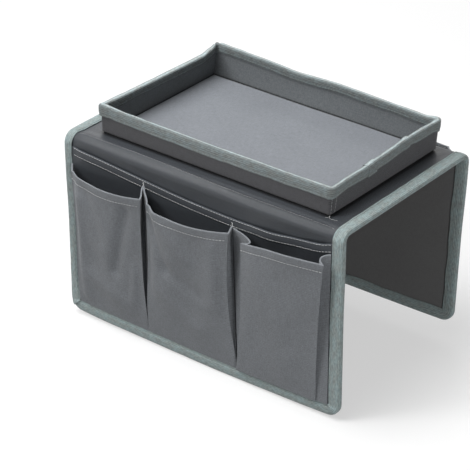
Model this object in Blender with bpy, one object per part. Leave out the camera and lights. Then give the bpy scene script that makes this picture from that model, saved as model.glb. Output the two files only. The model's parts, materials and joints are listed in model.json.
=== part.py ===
"""Sofa armrest organizer: a tray on a stiffened top panel, with a front and a back flap that hang down.

Metres, +Z up. The origin is the middle of the top panel's underside, which lies on the armrest. +X runs
along the panel's width, and the front flap with its three bellows pockets faces -Y.

Places on a flap are given in the flap's own terms: x across it, "out" away from the armrest and "drop" down
from the fold's axis. Each flap and each pocket front hangs on an empty that stands on its hinge axis.
"""

import math
from collections import namedtuple

import bmesh
import bpy

# Overall size, over the binding tape
WIDTH = 0.320
DEPTH = 0.196
FRONT_DROP = 0.189
BACK_DROP = 0.177
BACK_LEAN = math.radians(3.5)
BEND_RADIUS = 0.010
CORNER_RADIUS = 0.013

# Sheets, and the gap that touching pieces keep
CLOTH = 0.0006
POCKET_CLOTH = 0.0007
BOARD = 0.0018
TAPE = 0.0006
GAP = 0.0003
TAPE_WIDTH = 0.0115
TAPE_PRESS = 0.0001
BOARD_MARGIN = 0.0010
HEM_WIDTH = 0.0085
HEM_EXTRA = 0.0006

# Tray: how far its outer cloth stands in from the top panel's edges, and its walls
TRAY_SIDE_MARGIN = 0.0280
TRAY_FRONT_MARGIN = 0.0185
TRAY_BACK_MARGIN = 0.0110
TRAY_HEIGHT = 0.031
TRAY_CORNER = 0.005
WALL_BOARD = 0.0015
WALL_SLACK = 0.0004

# Divider seams of the front pockets, at the mouth and at the foot
LEFT_DIVIDER_TOP = -0.0630
LEFT_DIVIDER_FOOT = -0.0612
RIGHT_DIVIDER_TOP = 0.0400
RIGHT_DIVIDER_FOOT = 0.0450
SEAM_PITCH = 0.0007

# Flat pocket: how far its mouth lies below the bend, at the tapes and at the two dividers
FLAT_DROP_LEFT_TAPE = 0.0009
FLAT_DROP_LEFT_DIVIDER = 0.0075
FLAT_DROP_RIGHT_DIVIDER = 0.0129
FLAT_DROP_RIGHT_TAPE = 0.0019

# Bellows pockets, each as values at its front's left edge, middle and right edge: how far the front's mouth
# stands out from the flap's cloth, and how far it lies below the bend
LEFT_STAND = (0.0115, 0.0195, 0.0165)
LEFT_MOUTH_DROP = (0.0212, 0.0225, 0.0185)
MIDDLE_STAND = (0.0190, 0.0205, 0.0125)
MIDDLE_MOUTH_DROP = (0.0215, 0.0259, 0.0217)
RIGHT_STAND = (0.0130, 0.0175, 0.0070)
RIGHT_MOUTH_DROP = (0.0262, 0.0195, 0.0182)
REAR_STAND = (0.0150, 0.0175, 0.0150)
REAR_MOUTH_DROP = (-0.0010, -0.0030, -0.0010)

# How far to +X the two side edges of each front's mouth lie from the tape or the divider beside them
LEFT_MOUTH_OFFSETS = (0.0075, 0.0075)
MIDDLE_MOUTH_OFFSETS = (0.0165, 0.0045)
RIGHT_MOUTH_OFFSETS = (0.0175, -0.0030)
REAR_MOUTH_OFFSETS = (0.0215, -0.0215)
RIGHT_FOOT_INSET = 0.0120

# How far below the bend each gusset seam ends, from left to right, and on the back flap
LEFT_TAPE_SEAM_DROP = 0.0132
LEFT_DIVIDER_SEAM_DROP = 0.0137
MIDDLE_RIGHT_SEAM_DROP = 0.0207
RIGHT_LEFT_SEAM_DROP = 0.0219
RIGHT_TAPE_SEAM_DROP = 0.0119
REAR_SEAM_DROP = 0.0005

# Depth of the hanging folds in each pocket front, and how many waves they lean sideways from foot to mouth
LEFT_FOLDS = 0.0012
LEFT_FOLD_SLANT = 0.30
MIDDLE_FOLDS = 0.0014
MIDDLE_FOLD_SLANT = -0.55
RIGHT_FOLDS = 0.0008
RIGHT_FOLD_SLANT = 0.20
REAR_FOLDS = 0.0006
REAR_FOLD_SLANT = 0.25
FOLD_COUNT = 1.5
BELLY = 0.35

# Pleats of the right pocket's gussets: how far they run past a straight line to +X, at foot and mouth
NO_PLEAT = (0.0, 0.0)
RIGHT_LEFT_PLEAT = (0.004, 0.018)
RIGHT_RIGHT_PLEAT = (-0.006, -0.010)

# Gussets: how far apart flap and front are where they start, and how straight they leave them
GUSSET_ROOM = 0.0012
GUSSET_RISE = 0.25

# Mesh fineness, and how many times a search halves its range
HALVINGS = 30
ARC_STEPS = 6
ACROSS = 18
UP = 11
GUSSET_ACROSS = 8
GUSSET_UP = 9

# Worked out from the sizes above
PANEL = 2 * CLOTH + BOARD + 2 * GAP
AXIS_INSET = BEND_RADIUS * (1 - math.pi / 4)
TOP_END = DEPTH / 2 - BEND_RADIUS
FOLD_DROP = BEND_RADIUS - AXIS_INSET
EDGE = TAPE + GAP
HALF = WIDTH / 2
INNER_HALF = HALF - TAPE_WIDTH
TAPE_SEAM = INNER_HALF - SEAM_PITCH
WALL = 2 * CLOTH + WALL_BOARD + 2 * WALL_SLACK
TRAY_LENGTH = WIDTH - 2 * TRAY_SIDE_MARGIN
TRAY_DEPTH = DEPTH - TRAY_FRONT_MARGIN - TRAY_BACK_MARGIN
TRAY_MIDDLE = (TRAY_FRONT_MARGIN - TRAY_BACK_MARGIN) / 2
FLAT_OUT = GAP + CLOTH
ON_FLAT = FLAT_OUT + HEM_EXTRA + GAP

# Handle length of a cubic curve that follows a quarter of a circle of radius 1
QUARTER_HANDLE = 0.5523

# Colours, as base colour and roughness
CLOTH_GREY = ((0.078, 0.082, 0.088), 0.80)
POCKET_GREY = ((0.190, 0.202, 0.218), 0.85)
LINING_GREY = ((0.125, 0.125, 0.125), 0.90)
TAPE_GREEN = ((0.285, 0.330, 0.322), 0.90)
BOARD_BROWN = ((0.330, 0.270, 0.200), 0.95)

SMOOTH_BELOW = math.radians(30)

# Where a gusset is sewn to its flap: x at its foot and its mouth, how far below the bend it ends, its pleat
Seam = namedtuple("Seam", "foot mouth drop pleat")


def material(name, look):
    """A Principled material of one colour, named like the piece that wears it."""
    made = bpy.data.materials.new(name)
    made.use_nodes = True
    shader = made.node_tree.nodes["Principled BSDF"]
    colour, roughness = look
    shader.inputs["Base Color"].default_value = (*colour, 1.0)
    shader.inputs["Roughness"].default_value = roughness
    shader.inputs["Metallic"].default_value = 0.0
    made.diffuse_color = (*colour, 1.0)
    return made


def finish_object(name, bm, look, parent=None):
    """Turns a bmesh into a named object. Its faces run one way round, and are turned if that is inwards."""
    if bm.calc_volume(signed=True) < 0:
        bmesh.ops.reverse_faces(bm, faces=bm.faces)
    mesh = bpy.data.meshes.new(name)
    bm.to_mesh(mesh)
    bm.free()
    mesh.shade_smooth()
    mesh.set_sharp_from_angle(angle=SMOOTH_BELOW)
    mesh.materials.append(material(name, look))
    made = bpy.data.objects.new(name, mesh)
    bpy.context.scene.collection.objects.link(made)
    made.parent = parent
    return made


def axis_empty(name, place, turn, parent=None):
    """An empty on a hinge axis, turned about X."""
    made = bpy.data.objects.new(name, None)
    made.empty_display_size = 0.02
    made.location = place
    made.rotation_euler = (turn, 0.0, 0.0)
    made.parent = parent
    bpy.context.scene.collection.objects.link(made)
    return made


def box(name, low, high, look, parent=None):
    """A plain board or cloth between two opposite corners."""
    bm = bmesh.new()
    bmesh.ops.create_cube(bm, size=1.0)
    for vert in bm.verts:
        for axis in range(3):
            middle = (low[axis] + high[axis]) / 2
            vert.co[axis] = middle + vert.co[axis] * (high[axis] - low[axis])
    return finish_object(name, bm, look, parent)


def prism(name, outline, place, low, high, look, parent=None):
    """A flat sheet of this outline. place(a, b, height) gives the point for an outline point and a height."""
    bm = bmesh.new()
    lower = [bm.verts.new(place(a, b, low)) for a, b in outline]
    upper = [bm.verts.new(place(a, b, high)) for a, b in outline]
    bm.faces.new(lower)
    bm.faces.new(reversed(upper))
    for i in range(len(outline)):
        j = (i + 1) % len(outline)
        bm.faces.new((lower[j], lower[i], upper[i], upper[j]))
    return finish_object(name, bm, look, parent)


def lining(name, outline, face, place, low, high, parent=None):
    """The cloth on the armrest side: its lower side is one flat face, pressed in round it under the tape."""
    bm = bmesh.new()
    rings = ((face, low), (face, low + TAPE_PRESS), (outline, low + TAPE_PRESS), (outline, high))
    loops = [[bm.verts.new(place(a, b, height)) for a, b in points] for points, height in rings]
    bm.faces.new(loops[0])
    bm.faces.new(reversed(loops[-1]))
    for lower, upper in zip(loops, loops[1:]):
        for i in range(len(lower)):
            j = (i + 1) % len(lower)
            bm.faces.new((lower[j], lower[i], upper[i], upper[j]))
    return finish_object(name, bm, LINING_GREY, parent)


def shell(name, rows, look, parent=None, ring=False):
    """A bent sheet. Each row is a pair of lines of points, on its outer and on its inner face.

    A ring joins its last row to its first.
    """
    bm = bmesh.new()
    outer = [[bm.verts.new(point) for point in row[0]] for row in rows]
    inner = [[bm.verts.new(point) for point in row[1]] for row in rows]
    end = len(rows) - 1
    last = len(outer[0]) - 1
    for i in range(len(rows) if ring else end):
        k = (i + 1) % len(rows)
        for j in range(last):
            bm.faces.new((outer[i][j], outer[i][j + 1], outer[k][j + 1], outer[k][j]))
            bm.faces.new((inner[i][j + 1], inner[i][j], inner[k][j], inner[k][j + 1]))
        bm.faces.new((outer[i][0], outer[k][0], inner[k][0], inner[i][0]))
        bm.faces.new((outer[k][last], outer[i][last], inner[i][last], inner[k][last]))
    if not ring:
        for j in range(last):
            bm.faces.new((outer[0][j + 1], outer[0][j], inner[0][j], inner[0][j + 1]))
            bm.faces.new((outer[end][j], outer[end][j + 1], inner[end][j + 1], inner[end][j]))
    return finish_object(name, bm, look, parent)


def channel(place, reach, edge, inner_edge, high, low):
    """A row of a tape that is folded round an edge, for a shell.

    place(across, height) gives a point. reach, edge and inner_edge are places across the tape: its free
    edges, its outer and its inner turn. high and low are the heights of its two outer faces.
    """
    outer = [place(reach, high), place(edge, high), place(edge, low), place(reach, low)]
    inner = [
        place(reach, high - TAPE),
        place(inner_edge, high - TAPE),
        place(inner_edge, low + TAPE),
        place(reach, low + TAPE),
    ]
    return outer, inner


def mix(a, b, share):
    return a + (b - a) * share


def through(points, x):
    """The smooth curve through a few points (x, value), read at x."""
    total = 0.0
    for i, (xi, value) in enumerate(points):
        weight = value
        for j, (xj, _) in enumerate(points):
            if j != i:
                weight *= (x - xj) / (xi - xj)
        total += weight
    return total


def across_three(values, u):
    """The smooth curve through values at the left edge, the middle and the right edge, read at u."""
    return through(((0.0, values[0]), (0.5, values[1]), (1.0, values[2])), u)


def bezier(a, b, c, d, t):
    """A point on a cubic curve in the plane."""
    s = 1 - t
    return tuple(
        s * s * s * a[k] + 3 * s * s * t * b[k] + 3 * s * t * t * c[k] + t * t * t * d[k]
        for k in range(2)
    )


# Top panel


def make_top():
    """Board, outer cloth and lining of the top panel, with the tape on its two side edges."""

    def flat_place(x, y, height):
        return (x, y, height)

    side = HALF - EDGE
    outline = rectangle(side, TOP_END)
    face = rectangle(INNER_HALF - GAP, TOP_END - GAP)
    lining("top_lining", outline, face, flat_place, 0.0, CLOTH)
    low = CLOTH + GAP
    board_side = side - BOARD_MARGIN
    board_end = TOP_END - BOARD_MARGIN
    box("top_board", (-board_side, -board_end, low), (board_side, board_end, low + BOARD), BOARD_BROWN)
    box("top_cloth", (-side, -TOP_END, PANEL - CLOTH), (side, TOP_END, PANEL), CLOTH_GREY)
    for sign, name in ((-1, "top_binding_left"), (1, "top_binding_right")):
        rows = []
        for y in (-TOP_END, TOP_END):

            def place(across, height):
                return (sign * across, y, height)

            rows.append(channel(place, INNER_HALF, HALF, HALF - TAPE, PANEL + EDGE, -EDGE))
        shell(name, rows, TAPE_GREEN)


def rectangle(half_x, half_y):
    """The corners of a rectangle about the origin, anticlockwise."""
    return [(-half_x, -half_y), (half_x, -half_y), (half_x, half_y), (-half_x, half_y)]


# Tray


def tray_ring(inset):
    """The tray's outline, moved in from its outer cloth, anticlockwise from its front right corner."""
    radius = max(TRAY_CORNER - inset, TAPE)
    half_x = TRAY_LENGTH / 2 - inset - radius
    half_y = TRAY_DEPTH / 2 - inset - radius
    points = []
    for turn, sx, sy in ((-90, 1, -1), (0, 1, 1), (90, -1, 1), (180, -1, -1)):
        for step in range(ARC_STEPS + 1):
            angle = math.radians(turn + 90 * step / ARC_STEPS)
            x = sx * half_x + radius * math.cos(angle)
            y = sy * half_y + radius * math.sin(angle)
            points.append((x, y + TRAY_MIDDLE))
    return points


def make_tray():
    """Floor, four stiffened walls in a ring of cloth, and the tape on the rim."""

    def place(x, y, height):
        return (x, y, height)

    floor = PANEL + GAP
    board_top = floor + BOARD
    cover = board_top + GAP
    cloth_top = PANEL + TRAY_HEIGHT - EDGE
    board_ring = tray_ring(WALL + GAP + BOARD_MARGIN)
    prism("tray_floor_board", board_ring, place, floor, board_top, BOARD_BROWN)
    prism("tray_floor_cloth", tray_ring(WALL + GAP), place, cover, cover + CLOTH, CLOTH_GREY)
    ring_sheet("tray_wall_outer_cloth", 0.0, floor, cloth_top)
    ring_sheet("tray_wall_inner_cloth", WALL - CLOTH, floor, cloth_top)
    make_wall_boards(floor, cloth_top - GAP)
    make_rim(cloth_top + EDGE)


def ring_sheet(name, inset, low, high):
    """One closed band of cloth round the tray."""
    rows = []
    for outer, inner in zip(tray_ring(inset), tray_ring(inset + CLOTH)):
        rows.append(([(*outer, low), (*outer, high)], [(*inner, low), (*inner, high)]))
    shell(name, rows, CLOTH_GREY, ring=True)


def make_wall_boards(low, high):
    """The stiffener in each wall, between the ring's two cloths and clear of its round corners."""
    near = CLOTH + WALL_SLACK
    far = near + WALL_BOARD
    end = max(TRAY_CORNER, WALL)
    half_x = TRAY_LENGTH / 2
    half_y = TRAY_DEPTH / 2
    for sign, name in ((-1, "tray_front_board"), (1, "tray_back_board")):
        ys = sorted((TRAY_MIDDLE + sign * (half_y - near), TRAY_MIDDLE + sign * (half_y - far)))
        box(name, (end - half_x, ys[0], low), (half_x - end, ys[1], high), BOARD_BROWN)
    for sign, name in ((-1, "tray_left_board"), (1, "tray_right_board")):
        xs = sorted((sign * (half_x - near), sign * (half_x - far)))
        ys = (TRAY_MIDDLE + end - half_y, TRAY_MIDDLE + half_y - end)
        box(name, (xs[0], ys[0], low), (xs[1], ys[1], high), BOARD_BROWN)


def make_rim(top):
    """Tape folded over the walls' top edge, all the way round."""
    rows = []
    for i in range(len(tray_ring(0.0))):

        def place(z, out):
            return (*tray_ring(-out)[i], z)

        rows.append(channel(place, top - TAPE_WIDTH, top, top - TAPE, EDGE, -WALL - EDGE))
    shell("tray_rim_binding", rows, TAPE_GREEN, ring=True)


# Flaps


class Flap:
    """Sizes and axis of a flap. side is -1 in front and 1 behind; over is the height under its tape."""

    def __init__(self, name, side, drop, lean, over):
        self.name = name
        self.side = side
        self.lean = lean
        self.over = over
        self.top = FOLD_DROP + GAP
        self.bottom = drop - AXIS_INSET
        self.axis_y = side * (DEPTH / 2 - AXIS_INSET)
        self.axis_z = PANEL - AXIS_INSET
        place = (0.0, self.axis_y, self.axis_z)
        self.empty = axis_empty(name + "_axis", place, -side * lean)

    def point(self, x, out, drop):
        """A place on the flap, from x, the distance out from the cloth's face and the drop below the axis."""
        return (x, self.side * (out + AXIS_INSET), -drop)

    def world(self, out, drop):
        """The same place in the part's own y and z."""
        y = out + AXIS_INSET
        turned = y * math.cos(self.lean) - drop * math.sin(self.lean)
        lowered = y * math.sin(self.lean) + drop * math.cos(self.lean)
        return self.axis_y + self.side * turned, self.axis_z - lowered


def flap_edge(flap, inset, below_top=0.0):
    """The line this far inside a flap's outer edge: down the left, along the bottom and up the right."""
    radius = max(CORNER_RADIUS - inset, TAPE)
    side = HALF - inset
    low = flap.bottom - inset
    top = flap.top + below_top
    points = [(-side, top)]
    for sign in (-1, 1):
        for step in range(ARC_STEPS + 1):
            share = step if sign < 0 else ARC_STEPS - step
            angle = math.radians(90 * share / ARC_STEPS)
            x = sign * (side - radius + radius * math.cos(angle))
            points.append((x, low - radius + radius * math.sin(angle)))
    points.append((side, top))
    return points


def lower_edge(flap, inset, x):
    """How far down the same line runs at this x."""
    radius = max(CORNER_RADIUS - inset, TAPE)
    low = flap.bottom - inset
    past = abs(x) - (HALF - inset - radius)
    if past <= 0:
        return low
    return low - radius + math.sqrt(max(radius * radius - past * past, 0.0))


def make_flap_panel(flap):
    """Board, outer cloth, lining and tape of a flap."""

    def sheet_place(x, drop, out):
        return flap.point(x, out, drop)

    def tape_place(line_point, out):
        return flap.point(line_point[0], out, line_point[1])

    outline = flap_edge(flap, EDGE)
    board_outline = flap_edge(flap, EDGE + BOARD_MARGIN)
    name = flap.name
    deep = -CLOTH - GAP
    prism(name + "_cloth", outline, sheet_place, -CLOTH, 0.0, CLOTH_GREY, flap.empty)
    prism(name + "_board", board_outline, sheet_place, deep - BOARD, deep, BOARD_BROWN, flap.empty)
    face = flap_edge(flap, TAPE_WIDTH + GAP, GAP)
    lining(name + "_lining", outline, face, sheet_place, -PANEL, CLOTH - PANEL, flap.empty)
    rows = []
    lines = [flap_edge(flap, inset) for inset in (TAPE_WIDTH, 0.0, TAPE)]
    for reach, edge, inner_edge in zip(*lines):
        rows.append(channel(tape_place, reach, edge, inner_edge, flap.over + EDGE, -PANEL - EDGE))
    shell(name + "_binding", rows, TAPE_GREEN, flap.empty)


def bend(flap, above_top, above_flap, share):
    """A place (y, z) on the bend, from the distances out of the panel's outer cloth at its two ends."""
    start = (flap.side * (TOP_END + GAP), PANEL + above_top)
    end = flap.world(above_flap, FOLD_DROP)
    further = flap.world(above_flap, FOLD_DROP + GAP)
    step = math.dist(end, further)
    along = ((end[0] - further[0]) / step, (end[1] - further[1]) / step)
    first = QUARTER_HANDLE * (BEND_RADIUS + above_top)
    second = QUARTER_HANDLE * (BEND_RADIUS + above_flap)
    near = (start[0] + flap.side * first, start[1])
    far = (end[0] + along[0] * second, end[1] + along[1] * second)
    return bezier(start, near, far, end, share)


def make_fold(flap, prefix):
    """The outer cloth, the lining and the tape where they bend between the top panel and a flap."""
    shares = [step / ARC_STEPS for step in range(ARC_STEPS + 1)]
    xs = (EDGE - HALF, HALF - EDGE)
    layers = (("_cloth", 0.0, CLOTH_GREY), ("_lining", CLOTH - PANEL, LINING_GREY))
    for suffix, high, look in layers:
        low = high - CLOTH
        rows = []
        for t in shares:
            outer = [(x, *bend(flap, high, high, t)) for x in xs]
            inner = [(x, *bend(flap, low, low, t)) for x in xs]
            rows.append((outer, inner))
        shell(prefix + suffix, rows, look)
    for sign, name in ((-1, prefix + "_binding_left"), (1, prefix + "_binding_right")):
        rows = []
        for t in shares:

            def place(across, height):
                lifted = flap.over if height > 0 else 0.0
                return (sign * across, *bend(flap, height, height + lifted, t))

            rows.append(channel(place, INNER_HALF, HALF, HALF - TAPE, EDGE, -PANEL - EDGE))
        shell(name, rows, TAPE_GREEN)


# Flat pocket


def flat_mouth(flap, x):
    """How far the flat pocket's mouth lies below the axis."""
    drops = (
        (-INNER_HALF, FLAT_DROP_LEFT_TAPE),
        (LEFT_DIVIDER_TOP, FLAT_DROP_LEFT_DIVIDER),
        (RIGHT_DIVIDER_TOP, FLAT_DROP_RIGHT_DIVIDER),
        (INNER_HALF, FLAT_DROP_RIGHT_TAPE),
    )
    return flap.top + through(drops, max(-INNER_HALF, min(INNER_HALF, x)))


def make_flat_pocket(flap):
    """The full-width cloth under the tape on three sides, with a thicker hem between the tapes."""
    band = INNER_HALF - GAP
    tucked = band + GAP
    edge_xs = [x for x, _ in flap_edge(flap, EDGE)[1:-1]]
    band_xs = [mix(-band, band, step / ACROSS) for step in range(ACROSS + 1)]
    left_xs = [x for x in edge_xs if x < -tucked]
    right_xs = [x for x in edge_xs if x > tucked]
    rows = []
    for x in (*left_xs, -tucked, *band_xs, tucked, *right_xs):
        foot = lower_edge(flap, EDGE, x)
        mouth = flat_mouth(flap, x)
        hem_foot = mouth + HEM_WIDTH
        extra = HEM_EXTRA if abs(x) < tucked else 0.0
        levels = ((foot, 0.0), (hem_foot + GAP, 0.0), (hem_foot, extra), (mouth, extra))
        outer = [flap.point(x, FLAT_OUT + more, drop) for drop, more in levels]
        rows.append((outer, [flap.point(x, GAP, drop) for drop, _ in levels]))
    shell("flat_pocket", rows, POCKET_GREY, flap.empty)


# Bellows pockets


class Pocket:
    """One bellows pocket: a front that swings about its foot seam, and a gusset at each side.

    mouth_x and foot_x are the places of the front's side edges. stand and mouth_drop each hold three values
    across the front, folds is the depth of its hanging folds and slant how they lean. foot_stand is how far
    out the inner face of its foot is.
    """

    def __init__(self, flap, name, mouth_x, foot_x, stand, mouth_drop, folds, slant, foot_stand):
        self.flap = flap
        self.name = name
        self.mouth_x = mouth_x
        self.foot_x = foot_x
        self.stand = stand
        self.mouth_drop = mouth_drop
        self.folds = folds
        self.slant = slant
        self.foot_stand = foot_stand
        self.foot_drop = flap.bottom - TAPE_WIDTH - GAP
        self.axis = flap.point(0.0, foot_stand + POCKET_CLOTH / 2, self.foot_drop)
        self.empty = axis_empty(name + "_axis", self.axis, 0.0, flap.empty)

    def mouth(self, u):
        """How far the mouth lies below the flap's axis, at a share across."""
        return self.flap.top + across_three(self.mouth_drop, u)

    def height(self, u, t):
        """How far below the flap's axis a place lies, at a share across and a share up the front."""
        return mix(self.foot_drop, self.mouth(u), t)

    def edge_x(self, u, t):
        foot = mix(self.foot_x[0], self.foot_x[1], u)
        mouth = mix(self.mouth_x[0], self.mouth_x[1], u)
        return mix(foot, mouth, t)

    def out(self, u, t):
        """How far out the inner face is there."""
        swell = t * (1 + BELLY * (1 - t))
        wave = math.cos(2 * math.pi * (FOLD_COUNT * u + self.slant * t))
        fade = math.sin(math.pi * u) * math.sin(math.pi * t)
        return mix(self.foot_stand, across_three(self.stand, u), swell) + self.folds * wave * fade

    def share_standing(self, u, out):
        """The share up the front's side edge where its inner face is this far out."""
        low, high = 0.0, 1.0
        for _ in range(HALVINGS):
            middle = (low + high) / 2
            if self.out(u, middle) < out:
                low = middle
            else:
                high = middle
        return high

    def local(self, x, out, drop):
        """A place on the flap, as seen from this pocket's own axis."""
        point = self.flap.point(x, out, drop)
        return tuple(point[k] - self.axis[k] for k in range(3))


def make_front(pocket):
    """The pocket's front: a hanging sheet with a doubled hem along its mouth."""
    rows = []
    for column in range(ACROSS + 1):
        u = column / ACROSS
        tall = pocket.foot_drop - pocket.mouth(u)
        hem = 1 - HEM_WIDTH / tall
        levels = [(hem * row / UP, 0.0) for row in range(UP)]
        levels += [(hem - GAP / tall, 0.0), (hem, HEM_EXTRA), (1.0, HEM_EXTRA)]
        outer = []
        inner = []
        for t, extra in levels:
            x = pocket.edge_x(u, t)
            out = pocket.out(u, t)
            drop = pocket.height(u, t)
            inner.append(pocket.local(x, out, drop))
            outer.append(pocket.local(x, out + POCKET_CLOTH + extra, drop))
        rows.append((outer, inner))
    shell(pocket.name + "_panel", rows, POCKET_GREY, pocket.empty)


def make_gusset(pocket, side, seam, seam_out):
    """A side fold from its seam on the flap to the front's left or right edge."""
    u = 0.0 if side == "left" else 1.0
    inward = 1 if side == "left" else -1
    half = POCKET_CLOTH / 2
    foot = pocket.share_standing(u, seam_out + POCKET_CLOTH + GAP + GUSSET_ROOM)
    seam_top = pocket.flap.top + seam.drop
    nudge = 1 / (10 * GUSSET_ACROSS)
    rows = []
    for row in range(GUSSET_UP + 1):
        t = mix(foot, 1.0, row / GUSSET_UP)
        start = (mix(seam.foot, seam.mouth, t), seam_out + half)
        end = (pocket.edge_x(u, t) + inward * (half + GAP), pocket.out(u, t) - GAP - half)
        past = mix(seam.pleat[0], seam.pleat[1], t)
        lift = GUSSET_RISE * (end[1] - start[1])
        curve = (start, (start[0] + past, start[1] + lift), (end[0] + past, end[1] - lift), end)
        outer = []
        inner = []
        for step in range(GUSSET_ACROSS + 1):
            v = step / GUSSET_ACROSS
            here = bezier(*curve, v)
            before = bezier(*curve, v - nudge)
            after = bezier(*curve, v + nudge)
            along = math.dist(before, after)
            normal_x = half * (before[1] - after[1]) / along
            normal_out = half * (after[0] - before[0]) / along
            drop = mix(pocket.foot_drop, mix(seam_top, pocket.mouth(u), v), t)
            outer.append(pocket.flap.point(here[0] + normal_x, here[1] + normal_out, drop))
            inner.append(pocket.flap.point(here[0] - normal_x, here[1] - normal_out, drop))
        rows.append((outer, inner))
    shell(pocket.name + "_gusset_" + side, rows, POCKET_GREY, pocket.flap.empty)


def make_front_pockets(flap):
    """The three bellows pockets on the flat pocket."""
    left = Pocket(
        flap,
        "left_pocket",
        mouth_x=(LEFT_MOUTH_OFFSETS[0] - INNER_HALF, LEFT_DIVIDER_TOP + LEFT_MOUTH_OFFSETS[1]),
        foot_x=(-TAPE_SEAM, LEFT_DIVIDER_FOOT - SEAM_PITCH),
        stand=LEFT_STAND,
        mouth_drop=LEFT_MOUTH_DROP,
        folds=LEFT_FOLDS,
        slant=LEFT_FOLD_SLANT,
        foot_stand=FLAT_OUT + GAP,
    )
    middle = Pocket(
        flap,
        "middle_pocket",
        mouth_x=(LEFT_DIVIDER_TOP + MIDDLE_MOUTH_OFFSETS[0], RIGHT_DIVIDER_TOP + MIDDLE_MOUTH_OFFSETS[1]),
        foot_x=(LEFT_DIVIDER_FOOT + SEAM_PITCH, RIGHT_DIVIDER_FOOT - SEAM_PITCH),
        stand=MIDDLE_STAND,
        mouth_drop=MIDDLE_MOUTH_DROP,
        folds=MIDDLE_FOLDS,
        slant=MIDDLE_FOLD_SLANT,
        foot_stand=FLAT_OUT + GAP,
    )
    right = Pocket(
        flap,
        "right_pocket",
        mouth_x=(RIGHT_DIVIDER_TOP + RIGHT_MOUTH_OFFSETS[0], INNER_HALF + RIGHT_MOUTH_OFFSETS[1]),
        foot_x=(RIGHT_DIVIDER_FOOT + SEAM_PITCH, INNER_HALF - RIGHT_FOOT_INSET),
        stand=RIGHT_STAND,
        mouth_drop=RIGHT_MOUTH_DROP,
        folds=RIGHT_FOLDS,
        slant=RIGHT_FOLD_SLANT,
        foot_stand=ON_FLAT + POCKET_CLOTH + 2 * GAP,
    )
    for pocket in (left, middle, right):
        make_front(pocket)
    left_tape = Seam(-TAPE_SEAM, -TAPE_SEAM, LEFT_TAPE_SEAM_DROP, NO_PLEAT)
    right_tape = Seam(TAPE_SEAM, TAPE_SEAM, RIGHT_TAPE_SEAM_DROP, RIGHT_RIGHT_PLEAT)
    make_gusset(left, "left", left_tape, ON_FLAT)
    make_gusset(left, "right", left_divider(-SEAM_PITCH), ON_FLAT)
    make_gusset(middle, "left", left_divider(SEAM_PITCH), ON_FLAT)
    make_gusset(middle, "right", right_divider(-SEAM_PITCH, MIDDLE_RIGHT_SEAM_DROP, NO_PLEAT), ON_FLAT)
    make_gusset(right, "left", right_divider(SEAM_PITCH, RIGHT_LEFT_SEAM_DROP, RIGHT_LEFT_PLEAT), ON_FLAT)
    make_gusset(right, "right", right_tape, ON_FLAT)


def left_divider(beside):
    return Seam(LEFT_DIVIDER_FOOT + beside, LEFT_DIVIDER_TOP + beside, LEFT_DIVIDER_SEAM_DROP, NO_PLEAT)


def right_divider(beside, drop, pleat):
    return Seam(RIGHT_DIVIDER_FOOT + beside, RIGHT_DIVIDER_TOP + beside, drop, pleat)


def make_rear_pocket(flap):
    """One wide bellows pocket on the back flap."""
    pocket = Pocket(
        flap,
        "rear_pocket",
        mouth_x=(REAR_MOUTH_OFFSETS[0] - INNER_HALF, INNER_HALF + REAR_MOUTH_OFFSETS[1]),
        foot_x=(-TAPE_SEAM, TAPE_SEAM),
        stand=REAR_STAND,
        mouth_drop=REAR_MOUTH_DROP,
        folds=REAR_FOLDS,
        slant=REAR_FOLD_SLANT,
        foot_stand=GAP,
    )
    make_front(pocket)
    for side, x in (("left", -TAPE_SEAM), ("right", TAPE_SEAM)):
        make_gusset(pocket, side, Seam(x, x, REAR_SEAM_DROP, NO_PLEAT), GAP)


def main():
    for old in list(bpy.data.objects):
        bpy.data.objects.remove(old)
    make_top()
    make_tray()
    front = Flap("front_flap", -1, FRONT_DROP, 0.0, FLAT_OUT)
    back = Flap("back_flap", 1, BACK_DROP, BACK_LEAN, 0.0)
    for flap, fold in ((front, "front_fold"), (back, "back_fold")):
        make_flap_panel(flap)
        make_fold(flap, fold)
    make_flat_pocket(front)
    make_front_pockets(front)
    make_rear_pocket(back)


main()
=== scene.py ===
"""Looks of the sofa armrest organizer, laid out as an add-on.

Metres, +Z up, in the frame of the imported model. Each operator makes one piece or a group of like pieces. The
panel's boards are carried over from the model; cloth, tape and stitches are made here and stand where it has
them.
"""

import json
import math

import bpy
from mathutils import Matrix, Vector, noise


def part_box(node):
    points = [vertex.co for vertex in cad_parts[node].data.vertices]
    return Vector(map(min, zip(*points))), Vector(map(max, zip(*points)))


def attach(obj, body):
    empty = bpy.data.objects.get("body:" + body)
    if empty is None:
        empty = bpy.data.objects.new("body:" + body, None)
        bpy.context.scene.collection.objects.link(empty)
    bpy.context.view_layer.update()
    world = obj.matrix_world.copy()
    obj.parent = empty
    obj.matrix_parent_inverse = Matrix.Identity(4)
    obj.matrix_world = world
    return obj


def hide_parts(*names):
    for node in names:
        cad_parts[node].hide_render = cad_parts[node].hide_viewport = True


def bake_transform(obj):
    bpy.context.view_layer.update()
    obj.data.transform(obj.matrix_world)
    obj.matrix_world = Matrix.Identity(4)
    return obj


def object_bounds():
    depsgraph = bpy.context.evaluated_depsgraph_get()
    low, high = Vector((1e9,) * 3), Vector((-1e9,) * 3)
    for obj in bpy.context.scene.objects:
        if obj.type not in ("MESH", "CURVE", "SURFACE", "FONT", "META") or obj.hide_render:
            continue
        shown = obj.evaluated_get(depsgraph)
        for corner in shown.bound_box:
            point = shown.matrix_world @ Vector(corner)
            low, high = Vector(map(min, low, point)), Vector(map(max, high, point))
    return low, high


bl_info = {
    "name": "Armrest Organizer",
    "version": (1, 0, 0),
    "blender": (4, 5, 0),
    "location": "3D View > Sidebar > Organizer",
    "description": "Dresses the armrest organizer with cloth, binding tape and stitches",
    "category": "Object",
}

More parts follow.
